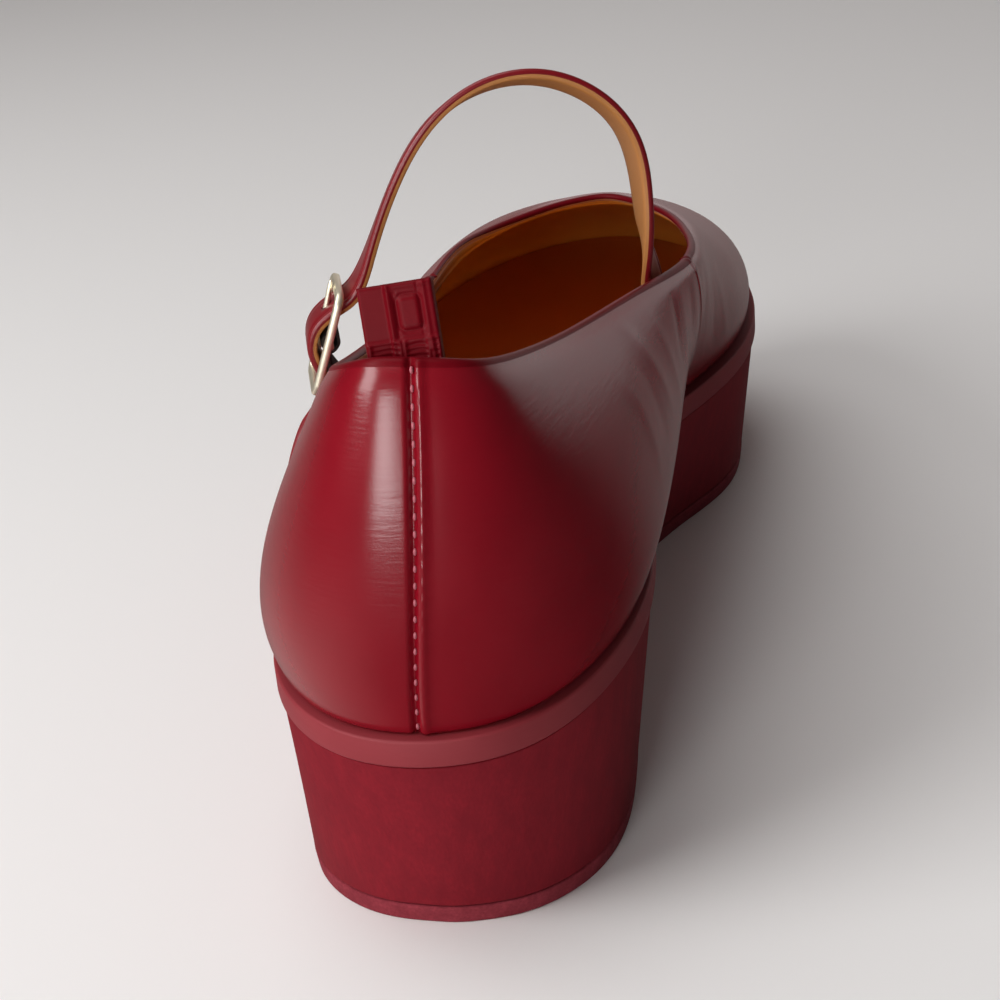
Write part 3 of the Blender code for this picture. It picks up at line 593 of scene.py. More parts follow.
def quarter_relief(lines, spacing):
    """The quarter's turned edge over the vamp: a step with a small bead, and a groove beside it."""
    height = np.zeros_like(spacing)
    for seam, way in ((MEDIAL_SEAM, 1.0), (LATERAL_SEAM, -1.0)):
        reach = (lines - seam) * way * spacing
        height += np.where(np.abs(lines - seam) < 2.0, ridges(reach, QUARTER_EDGE), 0.0)
    past = np.where(lines > COUNT / 2, LATERAL_SEAM - lines, lines - MEDIAL_SEAM) * spacing
    return height + QUARTER_STEP * (1.0 - ease(past / QUARTER_BEVEL))


def back_seam_relief(lines, spacing, from_foot):
    """Closed seam down the back: a narrow sunk line, and the inner side's edge drawn up beside it and
    puckered by the stitches."""
    reach = (lines - COUNT * np.round(lines / COUNT)) * spacing
    pucker = 1.0 + PUCKER * np.cos(2 * np.pi * from_foot / STITCH_PITCH)
    return ridges(reach, BACK_GROOVE) + ridges(reach, BACK_PUCKERS) * pucker


def make_upper():
    lines = fine_lines()
    count = len(lines)
    lengths = wall_lengths(lines)
    shares = np.linspace(0.0, 1.0, OUTER_ROWS)
    grid_line, grid_up = np.meshgrid(lines, shares)
    grid_at = line_at(grid_line, grid_up)
    wall = wall_surface(grid_at, grid_up)
    normal = wall_normal(grid_at, grid_up)
    step = wall_surface(grid_at + NUDGE, grid_up) - wall_surface(grid_at - NUDGE, grid_up)
    spacing = np.linalg.norm(step, axis=-1) / (2 * NUDGE)
    from_top = (1.0 - grid_up) * lengths
    from_foot = grid_up * lengths
    relief = quarter_relief(grid_line, spacing) + back_seam_relief(grid_line, spacing, from_foot)
    relief += fold_relief(wall) * ease(from_top / FOLD_FADE)
    relief += ridges(from_foot, WELT_CREASE) + ridges(from_top, TURNED_EDGE)
    outer = wall + normal * relief[..., None]
    outer[0, :, 2] = seat_line(outer[0, :, 1]) + GAP

    depths = np.array(LINING_DEPTHS) * MM
    rest = np.linspace(0.0, 1.0, LOWER_LINING_ROWS + 1)[1:, None]
    below = np.concatenate([np.broadcast_to(depths[:, None], (len(depths), count)),
                            depths[-1] + rest * (lengths - depths[-1])])
    up = 1.0 - below / lengths
    at = line_at(lines, up)
    thick = WALL + ridges(below, LINING_EDGE)
    inner = wall_surface(at, up) - wall_normal(at, up) * thick[..., None]
    inner[-1, :, 2] = seat_line(inner[-1, :, 1]) + GAP

    climb = unit(outer[-1] - outer[-3])
    middle = 0.5 * (outer[-1] + inner[0])
    turns = np.linspace(0.0, math.pi, RIM_ROWS + 2)[1:-1]
    rim = np.stack([middle + (outer[-1] - middle) * math.cos(turn) + climb * RIM_ROLL * WALL * math.sin(turn)
                    for turn in turns])
    rows = np.concatenate([outer, rim, inner])
    levels = len(rows)
    faces = []
    for row in range(levels):
        faces += ring_faces(row * count, (row + 1) % levels * count, count)
    # Materials by row: leather with painted shade beside its seams, the rim in darker leather as painted
    # shade, the lining's cut edge, partly a painted highlight, then the lining
    past = np.minimum((lines - MEDIAL_SEAM) % COUNT, (LATERAL_SEAM - lines) % COUNT)
    past = past * spacing[len(spacing) // 2] - SEAM_SHADE_PLACE
    leather_or_seam_shade = np.where(np.abs(past) < SEAM_SHADE_HALF, SEAM_PAINTED_SHADE, LEATHER)
    leather_rows, rim_rows, edge_rows = OUTER_ROWS - 2, RIM_ROWS, 5
    slots = np.concatenate([np.tile(leather_or_seam_shade, leather_rows), np.repeat(
        [RIM_IN_PAINTED_SHADE, CUT_EDGE_AND_HIGHLIGHT, LINING],
        [rim_rows * count, edge_rows * count, (levels - leather_rows - rim_rows - edge_rows) * count])])
    height = np.concatenate([shares[:, None] * lengths, np.broadcast_to(lengths, (RIM_ROWS, count)),
                             lengths - below])
    uvs = np.stack([np.broadcast_to(lines * spacing.mean(), height.shape), height], axis=-1)
    upper = mesh_piece("upper_leather", rows.reshape(-1, 3), faces,
                       [BURGUNDY, TAN_LINING, RAW_EDGE_AND_HIGHLIGHT, SEAM_SHADE_CALF, TAB_CALF_PAINTED_SHADE], slots, uvs.reshape(-1, 2))
    keep_piece(upper, "upper", "upper")


# Sole

SOLE_FINENESS = 20        # mesh lines for each station


def slab(name, insets, heights, surface):
    """Closed slab from loops at given insets and heights, listed from the bottom up."""
    at = np.linspace(0.0, COUNT, SOLE_FINENESS * COUNT, endpoint=False)
    count = len(at)
    half = count // 2
    loops = []
    for inset, height in zip(insets, heights):
        loop = sole_loop(at, inset(at))
        loop[:, 2] = height(loop[:, 1])
        loops.append(loop)
    faces = []
    for level in range(len(loops) - 1):
        faces += ring_faces(level * count, (level + 1) * count, count)
    spines = []
    for base, height, flip in ((0, heights[0], True), ((len(loops) - 1) * count, heights[-1], False)):
        loop = loops[0] if flip else loops[-1]
        spine = 0.5 * (loop[1:half] + loop[:half:-1])
        spine[:, 2] = height(spine[:, 1])
        first = len(loops) * count + len(spines) * (half - 1)
        spines.append(spine)
        made = [(base, base + 1, first), (base, first, base + count - 1),
                (base + half, first + half - 2, base + half - 1),
                (base + half, base + half + 1, first + half - 2)]
        for index in range(half - 2):
            near, far = first + index, first + index + 1
            made.append((base + index + 1, base + index + 2, far, near))
            made.append((near, far, base + count - index - 2, base + count - index - 1))
        faces += [face[::-1] for face in made] if flip else made
    return mesh_piece(name, np.concatenate(loops + spines), faces, [surface], sharp=35)


def rounded_edges(low_inset, high_inset, low, high, radius, steps=4):
    """Insets and heights of a slab whose two outer edges are rounded off."""
    insets, heights = [], []
    for step in range(steps + 1):
        turn = 0.5 * math.pi * step / steps
        insets.append(lambda at, turn=turn: low_inset(at) + radius * (1 - math.sin(turn)))
        heights.append(lambda along, turn=turn: low(along) + radius * (1 - math.cos(turn)))
    for step in range(steps + 1):
        turn = 0.5 * math.pi * step / steps
        insets.append(lambda at, turn=turn: high_inset(at) + radius * (1 - math.cos(turn)))
        heights.append(lambda along, turn=turn: high(along) - radius * (1 - math.sin(turn)))
    return insets, heights


def make_sole():
    """Tread, platform, welt and insole: insets of the lower and upper edge, heights of the lower and upper
    face, and the radius of the rounded edges."""
    taper = lambda at: WELT_OVERHANG + around(column("taper") * SOLE_TAPER, at)
    level = lambda inset: lambda at: np.full_like(at, inset)
    above = lambda line, rise: lambda along: line(along) + rise
    inside = level(WELT_MARGIN + WALL + INSOLE_MARGIN)
    for name, slot, surface, low_inset, high_inset, low, high, radius in (
            ("tread_rubber", "tread", TREAD_SURFACE, lambda at: taper(at) + TREAD_TAPER, taper,
             floor_line, above(floor_line, TREAD_HEIGHT), 0.5 * MM),
            ("platform_cover", "platform", PLATFORM_SURFACE, taper, level(WELT_OVERHANG),
             above(floor_line, TREAD_HEIGHT + GAP), above(seat_line, -WELT_HEIGHT - GAP), 0.3 * MM),
            ("welt_strip", "welt", WELT_SURFACE, level(0.0), level(0.0),
             above(seat_line, -WELT_HEIGHT), seat_line, 0.5 * MM),
            ("insole_sock", "insole", INSOLE_SURFACE, inside, inside,
             above(seat_line, GAP), above(seat_line, GAP + INSOLE_THICKNESS), 0.6 * MM)):
        insets, heights = rounded_edges(low_inset, high_inset, low, high, radius)
        keep_piece(slab(name, insets, heights, surface), slot, slot)


# Strap, buckle and elastic

class StrapPlane:
    """Upright plane of the strap, from the inner edge of the opening to the outer one."""

    def __init__(self):
        self.start = wall_surface(STRAP_MEDIAL, 1.0)
        self.end = wall_surface(STRAP_LATERAL, 1.0)
        level = (self.end - self.start) * np.array([1.0, 1.0, 0.0])
        self.span = float(np.linalg.norm(level))
        self.run = level / self.span
        self.forward = np.array([self.run[1], -self.run[0], 0.0])
        self.lift = np.array([0.0, 0.0, 1.0])
        lean = math.radians(BUCKLE_LEAN)
        self.buckle = self.end + self.run * BUCKLE_OUT - self.lift * BUCKLE_DROP
        self.buckle_up = self.lift * math.cos(lean) - self.run * math.sin(lean)
        self.buckle_out = self.run * math.cos(lean) + self.lift * math.sin(lean)

    def point(self, run, rise):
        return self.start + self.run * run + self.lift * rise

    def at_buckle(self, up, out):
        return self.buckle + self.buckle_up * up + self.buckle_out * out


def sweep(centres, across, section):
    """Closed band along centres; section lists its corners as (across, outward) at each centre."""
    tangent = unit(np.gradient(centres, axis=0))
    across = unit(across - tangent * np.sum(across * tangent, axis=1, keepdims=True))
    out = np.cross(across, tangent)
    corners = [centres + across * np.reshape(side, (-1, 1)) + out * np.reshape(face, (-1, 1))
               for side, face in section]
    points = np.stack(corners, axis=1).reshape(-1, 3)
    count = len(section)
    faces = []
    for index in range(len(centres) - 1):
        faces += ring_faces(count * index, count * (index + 1), count)
    last = count * (len(centres) - 1)
    faces += [tuple(reversed(range(count))), tuple(range(last, last + count))]
    return points, outward_faces(points, faces)


def band_uvs(line, sides):
    """Length along the band and place across it, for each corner of its section at each centre."""
    run = np.concatenate([[0.0], np.cumsum(np.linalg.norm(np.diff(line, axis=0), axis=1))])
    return np.stack([np.repeat(run, len(sides)), np.tile(sides, len(line))], axis=-1)


def cant_across(plane, line, cants):
    tangent = unit(np.gradient(line, axis=0))
    out = np.cross(np.broadcast_to(plane.forward, line.shape), tangent)
    out *= np.sign(out[len(out) // 2, 2])
    cant = np.radians(cants)[:, None]
    return plane.forward * np.cos(cant) - out * np.sin(cant)


def wall_forward(at, up):
    ahead = unit(wall_surface(at + NUDGE, up) - wall_surface(at - NUDGE, up))
    return ahead * np.sign(ahead[1])


def over_quarter(at, up, lift):
    return wall_surface(at, up) + wall_normal(at, up) * (QUARTER_STEP + lift)


STRAP_SAMPLES = 420


def strap_section():
    """Corners of the strap's section: a lining glued under a thicker leather with softened, creased edges.
    Also the number of lining faces, counted from the first."""
    half, face = STRAP_WIDTH / 2, STRAP_THICKNESS / 2
    joint = -face + 0.72 * MM
    under = [(-half + 0.04 * MM, joint), (-half + 0.06 * MM, -face + 0.25 * MM), (-half + 0.30 * MM, -face)]
    under += [(half * share, -face) for share in (-0.6, 0.0, 0.6)]
    under += [(-side, level) for side, level in under[2::-1]]
    over = [(half, joint + 0.05 * MM)]
    # From the edge inward and from the top down, in millimetres: the rounded edge, then the crease
    over += [(half - inward * MM, face - down * MM) for inward, down in
             ((0.0, 0.5), (0.12, 0.2), (0.45, 0.02), (0.95, 0.0), (1.15, 0.12), (1.40, 0.0))]
    over += [(half * 0.4, face + 0.03 * MM)]
    return under + over + [(-side, level) for side, level in reversed(over)], len(under) - 1


def strap_line(plane):
    inside = WALL + GAP + TUCK_SLACK + STRAP_THICKNESS / 2
    depth = STRAP_TUCK / BACK_HEIGHT
    rows = []
    for share in (1.0 - depth, 1.0 - depth / 2, 1.0):
        spot = wall_surface(STRAP_MEDIAL, share) - inside * wall_normal(STRAP_MEDIAL, share)
        rows.append((*spot, ARCH[0].cant, -1.0))
    for row in ARCH:
        rows.append((*plane.point(row.run * plane.span, row.rise * STRAP_RISE), row.cant, row.settled))
    for row in WEAVE:
        spot = plane.at_buckle(row.up * BUCKLE_LENGTH / 2, row.out * STRAP_THICKNESS)
        rows.append((*spot, 0.0, row.settled))
    lie = 2 * ANCHOR_THICKNESS + 2 * GAP + 2 * LIE_SLACK + STRAP_THICKNESS / 2
    for share in (TAIL_TOP, TAIL_TOP - TAIL_LENGTH / BACK_HEIGHT):
        rows.append((*over_quarter(ANCHOR_STATION, share, lie), 0.0, 1.0))
    smooth = along_path(rows, STRAP_SAMPLES)
    line, cants, settled = smooth[:, :3], smooth[:, 3], np.clip(smooth[:, 4:5], -1.0, 1.0)
    across = (cant_across(plane, line, cants) * (1.0 - np.abs(settled))
              + wall_forward(STRAP_MEDIAL, 1.0 - depth / 2) * np.maximum(-settled, 0.0)
              + wall_forward(ANCHOR_STATION, TAIL_TOP) * np.maximum(settled, 0.0))
    return line, across


def cut_away(piece, cutter):
    change = piece.modifiers.new("hole", "BOOLEAN")
    change.operation = "DIFFERENCE"
    change.solver = "EXACT"
    change.object = cutter
    make_plain(piece)
    bpy.data.objects.remove(cutter)


def prong_ends(plane):
    radius = PRONG_THICKNESS / 2
    low = plane.at_buckle(-PRONG_THICKNESS / 2, BUCKLE_THICKNESS / 2 - BAR_SINK + GAP + radius)
    high = plane.at_buckle(BUCKLE_LENGTH / 2 + PRONG_THICKNESS / 4, BUCKLE_THICKNESS / 2 + GAP + radius)
    return low, high


def round_section(radius, sides=20):
    turns = [2 * math.pi * index / sides for index in range(sides)]
    return [(radius * math.cos(turn), radius * math.sin(turn)) for turn in turns]


def make_strap(plane):
    line, across = strap_line(plane)
    section, lining_faces = strap_section()
    points, faces = sweep(line, across, section)
    count = len(section)
    lined = [index % count < lining_faces for index in range(count * (len(line) - 1))] + [False, False]
    strap = mesh_piece("strap_leather", points, faces, [STRAP_CALF, STRAP_LINING_IN_SHADE], lined,
                       band_uvs(line, [corner[0] for corner in section]), sharp=50)
    low, high = prong_ends(plane)
    hole_points, hole_faces = sweep(np.array([low - plane.buckle_up * GAP, 0.5 * (low + high),
                                              high + plane.buckle_up * GAP]),
                                    np.broadcast_to(plane.forward, (3, 3)),
                                    round_section(PRONG_THICKNESS / 2 + GAP))
    cut_away(strap, mesh_piece("prong_hole", hole_points, hole_faces, [STRAP_CALF]))
    keep_piece(strap, "strap", "strap")


def rounded_loop(width, height, corner, steps=8):
    loop = []
    for turn, (side, up) in enumerate(((1, 1), (-1, 1), (-1, -1), (1, -1))):
        centre = (side * (width / 2 - corner), up * (height / 2 - corner))
        for step in range(steps + 1):
            angle = math.radians(90 * (turn + step / steps))
            loop.append((centre[0] + corner * math.cos(angle), centre[1] + corner * math.sin(angle)))
    return loop


def make_buckle(plane):
    """Cast frame with soft edges, and its middle bar set slightly inward."""
    # Half sizes of the frame's bars, a little fuller than the solid's to make up for their rounded edges
    across_half, through_half = 0.60 * BUCKLE_BAR, 0.66 * BUCKLE_THICKNESS
    squareness = 0.7          # 1 is an ellipse, and less is squarer
    centre = rounded_loop(BUCKLE_WIDTH - BUCKLE_BAR, BUCKLE_LENGTH - BUCKLE_BAR, BUCKLE_CORNER - across_half)
    sides = 16
    points = []
    for index, (side, up) in enumerate(centre):
        ahead = np.array(centre[(index + 1) % len(centre)]) - np.array(centre[index - 1])
        ahead /= np.linalg.norm(ahead)
        for turn in range(sides):
            angle = 2 * math.pi * turn / sides
            bulge = [math.copysign(abs(value) ** squareness, value)
                     for value in (math.cos(angle), math.sin(angle))]
            spot = plane.at_buckle(up - ahead[0] * across_half * bulge[0], through_half * bulge[1])
            points.append(spot + plane.forward * (side + ahead[1] * across_half * bulge[0]))
    faces = []
    for index in range(len(centre)):
        faces += ring_faces(index * sides, (index + 1) % len(centre) * sides, sides)
    frame_piece = mesh_piece("buckle_frame_cast", points, outward_faces(points, faces), [BUCKLE_METAL])
    ends = [plane.at_buckle(0.0, -BAR_SINK) + plane.forward * side * (BUCKLE_WIDTH / 2 - BUCKLE_BAR / 2)
            for side in (-1, 0, 1)]
    bar_points, bar_faces = sweep(np.array(ends), np.broadcast_to(plane.buckle_up, (3, 3)),
                                  round_section(BUCKLE_THICKNESS / 2))
    bar = mesh_piece("buckle_middle_bar", bar_points, bar_faces, [BUCKLE_METAL])
    keep_piece(frame_piece, "buckle_frame", "buckle_frame")
    keep_piece(bar, "buckle_frame")
    low, high = prong_ends(plane)
    shares = np.linspace(0.0, 1.0, 12)
    line = low + (high - low) * shares[:, None]
    radius = PRONG_THICKNESS / 2 * (1.0 - 0.25 * shares ** 3)     # thinner toward its tip,
    radius[-1] *= 0.6                                             # which is rounded off
    section = [(radius * side, radius * face) for side, face in round_section(1.0, 14)]
    prong_points, prong_faces = sweep(line, np.broadcast_to(plane.forward, line.shape), section)
    prong = mesh_piece("buckle_prong_pin", prong_points, prong_faces, [BUCKLE_METAL], sharp=50)
    keep_piece(prong, "buckle_prong", "buckle_prong")


def make_elastic(plane):
    """Flat elastic around the middle bar, its two layers sewn together below it."""
    sides = 48
    turns = np.linspace(0.0, 2 * math.pi, sides, endpoint=False)
    centre = -BAR_SINK - 0.2 * ANCHOR_SLACK
    half, width = ANCHOR_THICKNESS / 2, ANCHOR_WIDTH / 2
    # A loop that lies flatter than the solid's, and not quite round
    loop = np.array([plane.at_buckle(LOOP_UP * math.sin(turn) * (1.0 + 0.12 * math.cos(3 * turn)),
                                     centre + 0.72 * LOOP_OUT * math.cos(turn)) for turn in turns])
    inward = unit(loop.mean(axis=0) - loop)
    # Corners of its section, with small bevels: shares of the half width and of the half thickness
    corners = [(1, 0.7), (0.94, 1), (-0.94, 1), (-1, 0.7), (-1, -0.7), (-0.94, -1), (0.94, -1), (1, -0.7)]
    points = np.concatenate([loop + inward * half * face + plane.forward * width * side
                             for side, face in corners])
    uvs = np.concatenate([np.stack([turns * LOOP_OUT, np.full(sides, width * side)], axis=-1)
                          for side, face in corners])
    faces = []
    for layer in range(len(corners)):
        faces += ring_faces(layer * sides, (layer + 1) % len(corners) * sides, sides)
    ring = mesh_piece("elastic_loop", points, outward_faces(points, faces), [ELASTIC_AND_SHADE], uvs=uvs, sharp=60)
    keep_piece(ring, "buckle_anchor", "buckle_anchor")
    lie = GAP + LIE_SLACK + ANCHOR_THICKNESS
    start = plane.at_buckle(-LOOP_UP, centre)
    route = [(*start, 0.0), (*(start - plane.lift * ANCHOR_DROP), 0.0)]
    shares = np.linspace(ANCHOR_TOP, ANCHOR_TOP - ANCHOR_LENGTH / BACK_HEIGHT, 3)
    route += [(*over_quarter(ANCHOR_STATION, share, lie), settled)
              for share, settled in zip(shares, (0.5, 1.0, 1.0))]
    smooth = along_path(route, 60)
    line, settled = smooth[:, :3], np.clip(smooth[:, 3:], 0.0, 1.0)
    across = plane.forward * (1.0 - settled) + wall_forward(ANCHOR_STATION, ANCHOR_TOP) * settled
    width = np.linspace(ANCHOR_WIDTH, ANCHOR_FOOT, len(line)) / 2
    section = [(width * side, ANCHOR_THICKNESS * face) for side, face in corners]
    strip_points, strip_faces = sweep(line, across, section)
    strip = mesh_piece("elastic_strip", strip_points, strip_faces, [ELASTIC_AND_SHADE],
                       uvs=band_uvs(line, [side * ANCHOR_WIDTH / 2 for side, face in corners]), sharp=60)
    keep_piece(strip, "buckle_anchor")


# Pull tab

def tab_relief(side, up):
    """Relief of the tab's outer face in millimetres: side 0 at its outer edge to 1 at its inner edge, up 0
    at the opening to 1 at its top."""
    across, along = side * TAB_WIDTH / MM, up * TAB_HEIGHT / MM
    above = ease((up - 0.27) / 0.06)      # 1 above the sewn foot
    folded = ease((side - 0.34) / 0.05)   # 1 on the folded layer
    height = TAB_FOLD / MM * folded
    # The fold's rolled edge, and a groove beside it
    height += 0.22 * bell(side - 0.40, 0.035) * above
    height -= 0.24 * bell(side - 0.475, 0.03) * above * ease((0.90 - up) / 0.05)
    # A padded panel with round corners, sunk all around
    corner, middle, half = 1.0, (7.6, 7.3), (1.75, 2.6)
    beyond = [np.maximum(np.abs(place - centre) - reach + corner, 0.0)
              for place, centre, reach in zip((across, along), middle, half)]
    inset = corner - np.hypot(*beyond)
    height += 0.20 * ease((inset + 0.1) / 0.9)
    height -= 0.26 * bell(inset + 0.15, 0.28) * above
    # Turned edges at the inner side and the top
    height += 0.20 * bell(side - 0.88, 0.03) * ease((up - 0.08) / 0.05)
    height += 0.22 * bell(up - 0.955, 0.04) * folded - 0.10 * bell(side - 0.80, 0.02) * above
    # The sewn foot: three framed fields with the ribs of gathered leather, and a welt above them
    ribs = np.sin(2 * np.pi * along / 0.85 + 1.1 * np.sin(across * 1.3) + 0.8 * across)
    low = 1.0 - ease((up - 0.24) / 0.04)
    for left, right in ((0.06, 0.47), (0.53, 0.84), (0.90, 0.99)):
        box = np.minimum(side - left, right - side) * TAB_WIDTH / MM
        height += low * (0.26 * bell(box, 0.32) + 0.10 * ribs * ease(box / 0.5))
    height += 0.26 * bell(up - 0.265, 0.026) * (1.0 - 0.7 * bell(side - 0.50, 0.03))
    return 0.85 * height


def make_pull_tab():
    inside = WALL + GAP + TAB_CLEARANCE + TAB_THICKNESS / 2 + TAB_FOLD
    turn = math.radians(TAB_TURN)
    level = np.array([math.cos(turn), math.sin(turn), 0.0])
    aside = -level * math.tan(math.radians(TAB_LEAN))
    shares = (1.0 - TAB_TUCK / BACK_HEIGHT, 1.0 - TAB_TUCK / BACK_HEIGHT / 2, 1.0)
    route = [wall_surface(TAB_STATION, share) - inside * wall_normal(TAB_STATION, share)
             - aside * BACK_HEIGHT * (1.0 - share) for share in shares]
    climb = unit(wall_surface(TAB_STATION, 1.0) - wall_surface(TAB_STATION, shares[1]))
    route += [route[-1] + (climb + aside) * TAB_HEIGHT * share for share in (0.5, 1.0)]
    line = along_path(route, 121)
    run = np.concatenate([[0.0], np.cumsum(np.linalg.norm(np.diff(line, axis=0), axis=1))])
    up = (run - (run[-1] - TAB_HEIGHT)) / TAB_HEIGHT
    tangent = unit(np.gradient(line, axis=0))
    across = unit(level - tangent * (tangent @ level)[:, None])
    out = np.cross(across, tangent)
    columns, radius = 96, 0.5 * MM
    grid_side, grid_up = np.meshgrid(np.linspace(0.0, 1.0, columns), up)
    edge = np.minimum(np.minimum(grid_side, 1 - grid_side) * TAB_WIDTH, (1 - grid_up) * TAB_HEIGHT)
    rounding = radius * (1.0 - np.sqrt(np.clip(1.0 - (1.0 - np.clip(edge / radius, 0, 1)) ** 2, 0, 1)))
    front = TAB_THICKNESS / 2 + np.minimum(tab_relief(grid_side, grid_up) * MM, 1.0 * MM) - rounding
    back = -TAB_THICKNESS / 2 + rounding
    spread = (grid_side - 0.5) * TAB_WIDTH
    layers = [line[:, None] + across[:, None] * spread[..., None] + out[:, None] * face[..., None]
              for face in (front, back)]
    rows = len(line)
    points = np.concatenate([layer.reshape(-1, 3) for layer in layers])
    index = np.arange(2 * rows * columns).reshape(2, rows, columns)
    faces = []
    for layer, way in zip(index, (1, -1)):
        cells = np.stack([layer[:-1, :-1], layer[:-1, 1:], layer[1:, 1:], layer[1:, :-1]], axis=-1)
        faces += [tuple(cell) for cell in cells.reshape(-1, 4)[:, ::way]]
    border = ([index[:, 0, cell] for cell in range(columns)]
              + [index[:, row, -1] for row in range(1, rows)]
              + [index[:, -1, cell] for cell in range(columns - 2, -1, -1)]
              + [index[:, row, 0] for row in range(rows - 2, 0, -1)])
    for position in range(len(border)):
        here, there = border[position], border[(position + 1) % len(border)]
        faces.append((here[1], there[1], there[0], here[0]))
    uvs = np.tile(np.stack([grid_side * TAB_WIDTH, grid_up * TAB_HEIGHT], axis=-1).reshape(-1, 2), (2, 1))
    tab = mesh_piece("pull_tab_leather", points, outward_faces(points, faces), [TAB_CALF_PAINTED_SHADE], uvs=uvs)
    keep_piece(tab, "pull_tab", "pull_tab")


# Stitches

def stitch_tree():
    """Geometry Nodes: short rounded stitches, evenly spaced along every edge path."""
    tree = bpy.data.node_groups.new("stitch row", "GeometryNodeTree")
    for name, kind in (("Path", "NodeSocketGeometry"), ("Pitch", "NodeSocketFloat"),
                       ("Length", "NodeSocketFloat"), ("Thickness", "NodeSocketFloat"),
                       ("Thread", "NodeSocketMaterial")):
        tree.interface.new_socket(name, in_out="INPUT", socket_type=kind)
    tree.interface.new_socket("Stitches", in_out="OUTPUT", socket_type="NodeSocketGeometry")
    given = add_node(tree, "NodeGroupInput").outputs
    curve = add_node(tree, "GeometryNodeMeshToCurve", {"Mesh": given["Path"]})
    spaced = add_node(tree, "GeometryNodeResampleCurve", {"Curve": curve.outputs[0], "Length": given["Pitch"]},
                      mode="LENGTH")
    tangent = add_node(tree, "GeometryNodeInputTangent")
    turned = add_node(tree, "FunctionNodeAlignRotationToVector", {"Vector": tangent.outputs[0]}, axis="X")
    ball = add_node(tree, "GeometryNodeMeshIcoSphere", {"Radius": 0.5, "Subdivisions": 2})
    size = add_node(tree, "ShaderNodeCombineXYZ", {"X": given["Length"], "Y": given["Thickness"],
                                                   "Z": given["Thickness"]})
    placed = add_node(tree, "GeometryNodeInstanceOnPoints", {
        "Points": spaced.outputs[0], "Instance": ball.outputs["Mesh"], "Rotation": turned.outputs[0],
        "Scale": size.outputs[0]})
    real = add_node(tree, "GeometryNodeRealizeInstances", {"Geometry": placed.outputs[0]})
    painted = add_node(tree, "GeometryNodeSetMaterial", {"Geometry": real.outputs[0],
                                                         "Material": given["Thread"]})
    smooth = add_node(tree, "GeometryNodeSetShadeSmooth", {"Geometry": painted.outputs[0]})
    add_node(tree, "NodeGroupOutput", {"Stitches": smooth.outputs[0]})
    return tree


STITCHES = stitch_tree()


def stitch_row(name, path, slot, sizes):
    """Stitches along a path of points in the shoe's own frame, made into a plain mesh."""
    mesh = bpy.data.meshes.new(name)
    mesh.from_pydata((path + TO_FRAME).tolist(), [(index, index + 1) for index in range(len(path) - 1)], [])
    piece = add_object(name, mesh)
    change = piece.modifiers.new("stitches", "NODES")
    change.node_group = STITCHES
    for item in STITCHES.interface.items_tree:
        if item.name in sizes:
            change[item.identifier] = sizes[item.name]
    make_plain(piece)
    keep_piece(piece, slot)


def make_stitches():
    """The back seam's stitches, sunk in its groove and a little toward the inner side."""
    sink, aside = 0.42 * MM, 0.30 * MM
    shares = np.linspace(0.025, 0.985, 200)
    seam = back_seam_at(shares)
    path = wall_surface(seam, shares) + wall_normal(seam, shares) * (QUARTER_STEP - sink)
    path[:, 0] += aside
    stitch_row("back_seam_stitches", path, "upper",
               {"Pitch": STITCH_PITCH, "Length": 1.2 * MM, "Thickness": 0.60 * MM, "Thread": THREAD})


# Floor, light and camera

RoomLight = namedtuple("RoomLight", "axis start full low high growth")
# Parts of the surroundings' light: the part of a direction where each starts and is full, and how bright it
# is there. Below and left multiply, and so do ahead and far; both products add to above.
ROOM = {
    "above": RoomLight("Z", 0.0, 0.8, 0.02, 0.12, "LINEAR"),
    "below": RoomLight("Z", -0.02, -0.6, 0.0, 0.90, "SMOOTHSTEP"),
    "left": RoomLight("X", -0.25, -0.85, 0.0, 1.0, "LINEAR"),
    "ahead": RoomLight("Y", 0.72, 0.86, 0.0, 0.27, "LINEAR"),
    "far": RoomLight("Z", -0.65, -0.30, 0.0, 1.0, "LINEAR"),
}
ROOM_COLOUR = (1.0, 0.86, 0.83, 1.0)
LIGHTS = [                # name, place, aim, size in metres and power in watts
    ("overhead softbox", (-0.35, -0.05, 1.2), (0.0, 0.05, 0.0), (1.0, 1.0), 7.5),
    ("key softbox", (-0.76, -0.54, 0.62), (0.0, 0.02, 0.05), (0.6, 0.6), 8.5),
    ("seam strip", (-0.18, -1.0, 0.20), (0.0, 0.0, 0.07), (0.37, 0.42), 5.0),
    ("far softbox", (0.50, 1.5, 0.25), (0.0, 0.05, 0.08), (1.9, 0.5), 1.6),
]
PHOTO_FOCAL = 1600.0      # focal length of the photograph, in pixels of its 1000-pixel frame
PHOTO_PITCH = 24.6        # degrees below the horizon
PHOTO_TURN = 2.0          # degrees from +Y toward -X
PHOTO_ROLL = -0.63
PHOTO_MIDDLE = (505.0, 478.0)
EYE = (0.07169, -0.28579, 0.209)
AIM = (241.0, 520.0)      # point of the photograph in the middle of the view
ZOOM = 1.2


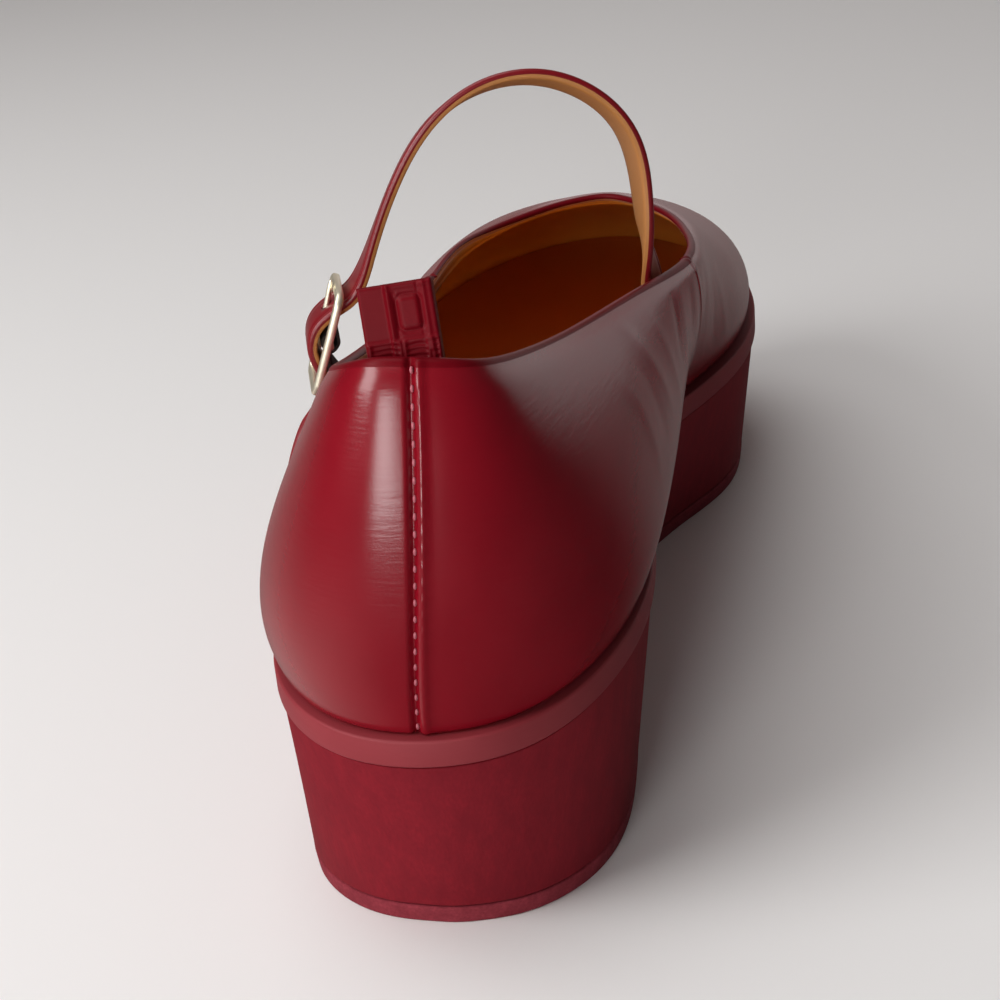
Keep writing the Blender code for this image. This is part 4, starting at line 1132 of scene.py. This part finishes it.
def make_camera():
    """The photograph's own standpoint, turned to frame the one shoe."""
    pitch, turn, roll = (math.radians(value) for value in (PHOTO_PITCH, PHOTO_TURN, PHOTO_ROLL))
    right = Vector((math.cos(turn), math.sin(turn), 0.0))
    ahead = Vector((-math.sin(turn) * math.cos(pitch), math.cos(turn) * math.cos(pitch), -math.sin(pitch)))
    up = right.cross(ahead)
    right, up = (right * math.cos(roll) + up * math.sin(roll), up * math.cos(roll) - right * math.sin(roll))
    aim = (ahead * PHOTO_FOCAL + right * (AIM[0] - PHOTO_MIDDLE[0]) - up * (AIM[1] - PHOTO_MIDDLE[1]))
    turning = ahead.rotation_difference(aim.normalized())
    right, up, ahead = turning @ right, turning @ up, aim.normalized()
    data = bpy.data.cameras.new("camera")
    data.sensor_width = 36.0
    data.lens = PHOTO_FOCAL * ZOOM / 1000.0 * data.sensor_width
    data.clip_start = 0.01
    camera = add_object("camera", data)
    camera.matrix_world = Matrix.Translation(EYE) @ Matrix((right, up, -ahead)).transposed().to_4x4()
    bpy.context.scene.camera = camera


def make_light(name, place, target, size, power):
    data = bpy.data.lights.new(name, "AREA")
    data.shape = "RECTANGLE"
    data.size, data.size_y = size
    data.energy = power
    lamp = add_object(name, data)
    lamp.location = place
    lamp.rotation_euler = (Vector(target) - Vector(place)).to_track_quat("-Z", "Y").to_euler()
    lamp.visible_camera = False


def make_surroundings():
    """Dim room around the shoe: dark at the horizon, a little lighter overhead, bright toward the lower left
    and lighter far beyond the toe, where the vamp's shine looks."""
    world = bpy.data.worlds.new("studio")
    world.use_nodes = True
    tree = world.node_tree
    tree.nodes.clear()
    way = add_node(tree, "ShaderNodeTexCoord").outputs["Generated"]
    way = add_node(tree, "ShaderNodeSeparateXYZ", {0: way}).outputs
    part = {name: add_node(tree, "ShaderNodeMapRange", {
        "Value": way[row.axis], "From Min": row.start, "From Max": row.full, "To Min": row.low,
        "To Max": row.high}, interpolation_type=row.growth).outputs[0] for name, row in ROOM.items()}
    strength = part["above"]
    for first, second in (("below", "left"), ("ahead", "far")):
        strength = add_node(tree, "ShaderNodeMath", {0: part[first], 1: part[second], 2: strength},
                            operation="MULTIPLY_ADD").outputs[0]
    light = add_node(tree, "ShaderNodeBackground", {"Color": ROOM_COLOUR, "Strength": strength})
    add_node(tree, "ShaderNodeOutputWorld", {"Surface": light.outputs[0]})
    bpy.context.scene.world = world


def make_studio():
    made, tree = new_material("pale floor paint")
    finish_material(made, tree, {"Base Color": (0.84, 0.83, 0.82, 1.0), "Roughness": 0.75})
    mesh = bpy.data.meshes.new("floor")
    half = 6.0
    mesh.from_pydata([(-half, -half, 0), (half, -half, 0), (half, half, 0), (-half, half, 0)], [],
                     [(0, 1, 2, 3)])
    mesh.materials.append(made)
    floor = add_object("floor", mesh)
    floor.visible_glossy = False      # a white floor in the leather's shine would bleach its colour
    make_surroundings()
    bpy.context.scene.view_settings.view_transform = "Standard"
    for name, place, target, size, power in LIGHTS:
        make_light(name, place, target, size, power)


make_camera()
make_studio()
make_upper()
make_sole()
strap_plane = StrapPlane()
make_strap(strap_plane)
make_buckle(strap_plane)
make_elastic(strap_plane)
make_pull_tab()
make_stitches()
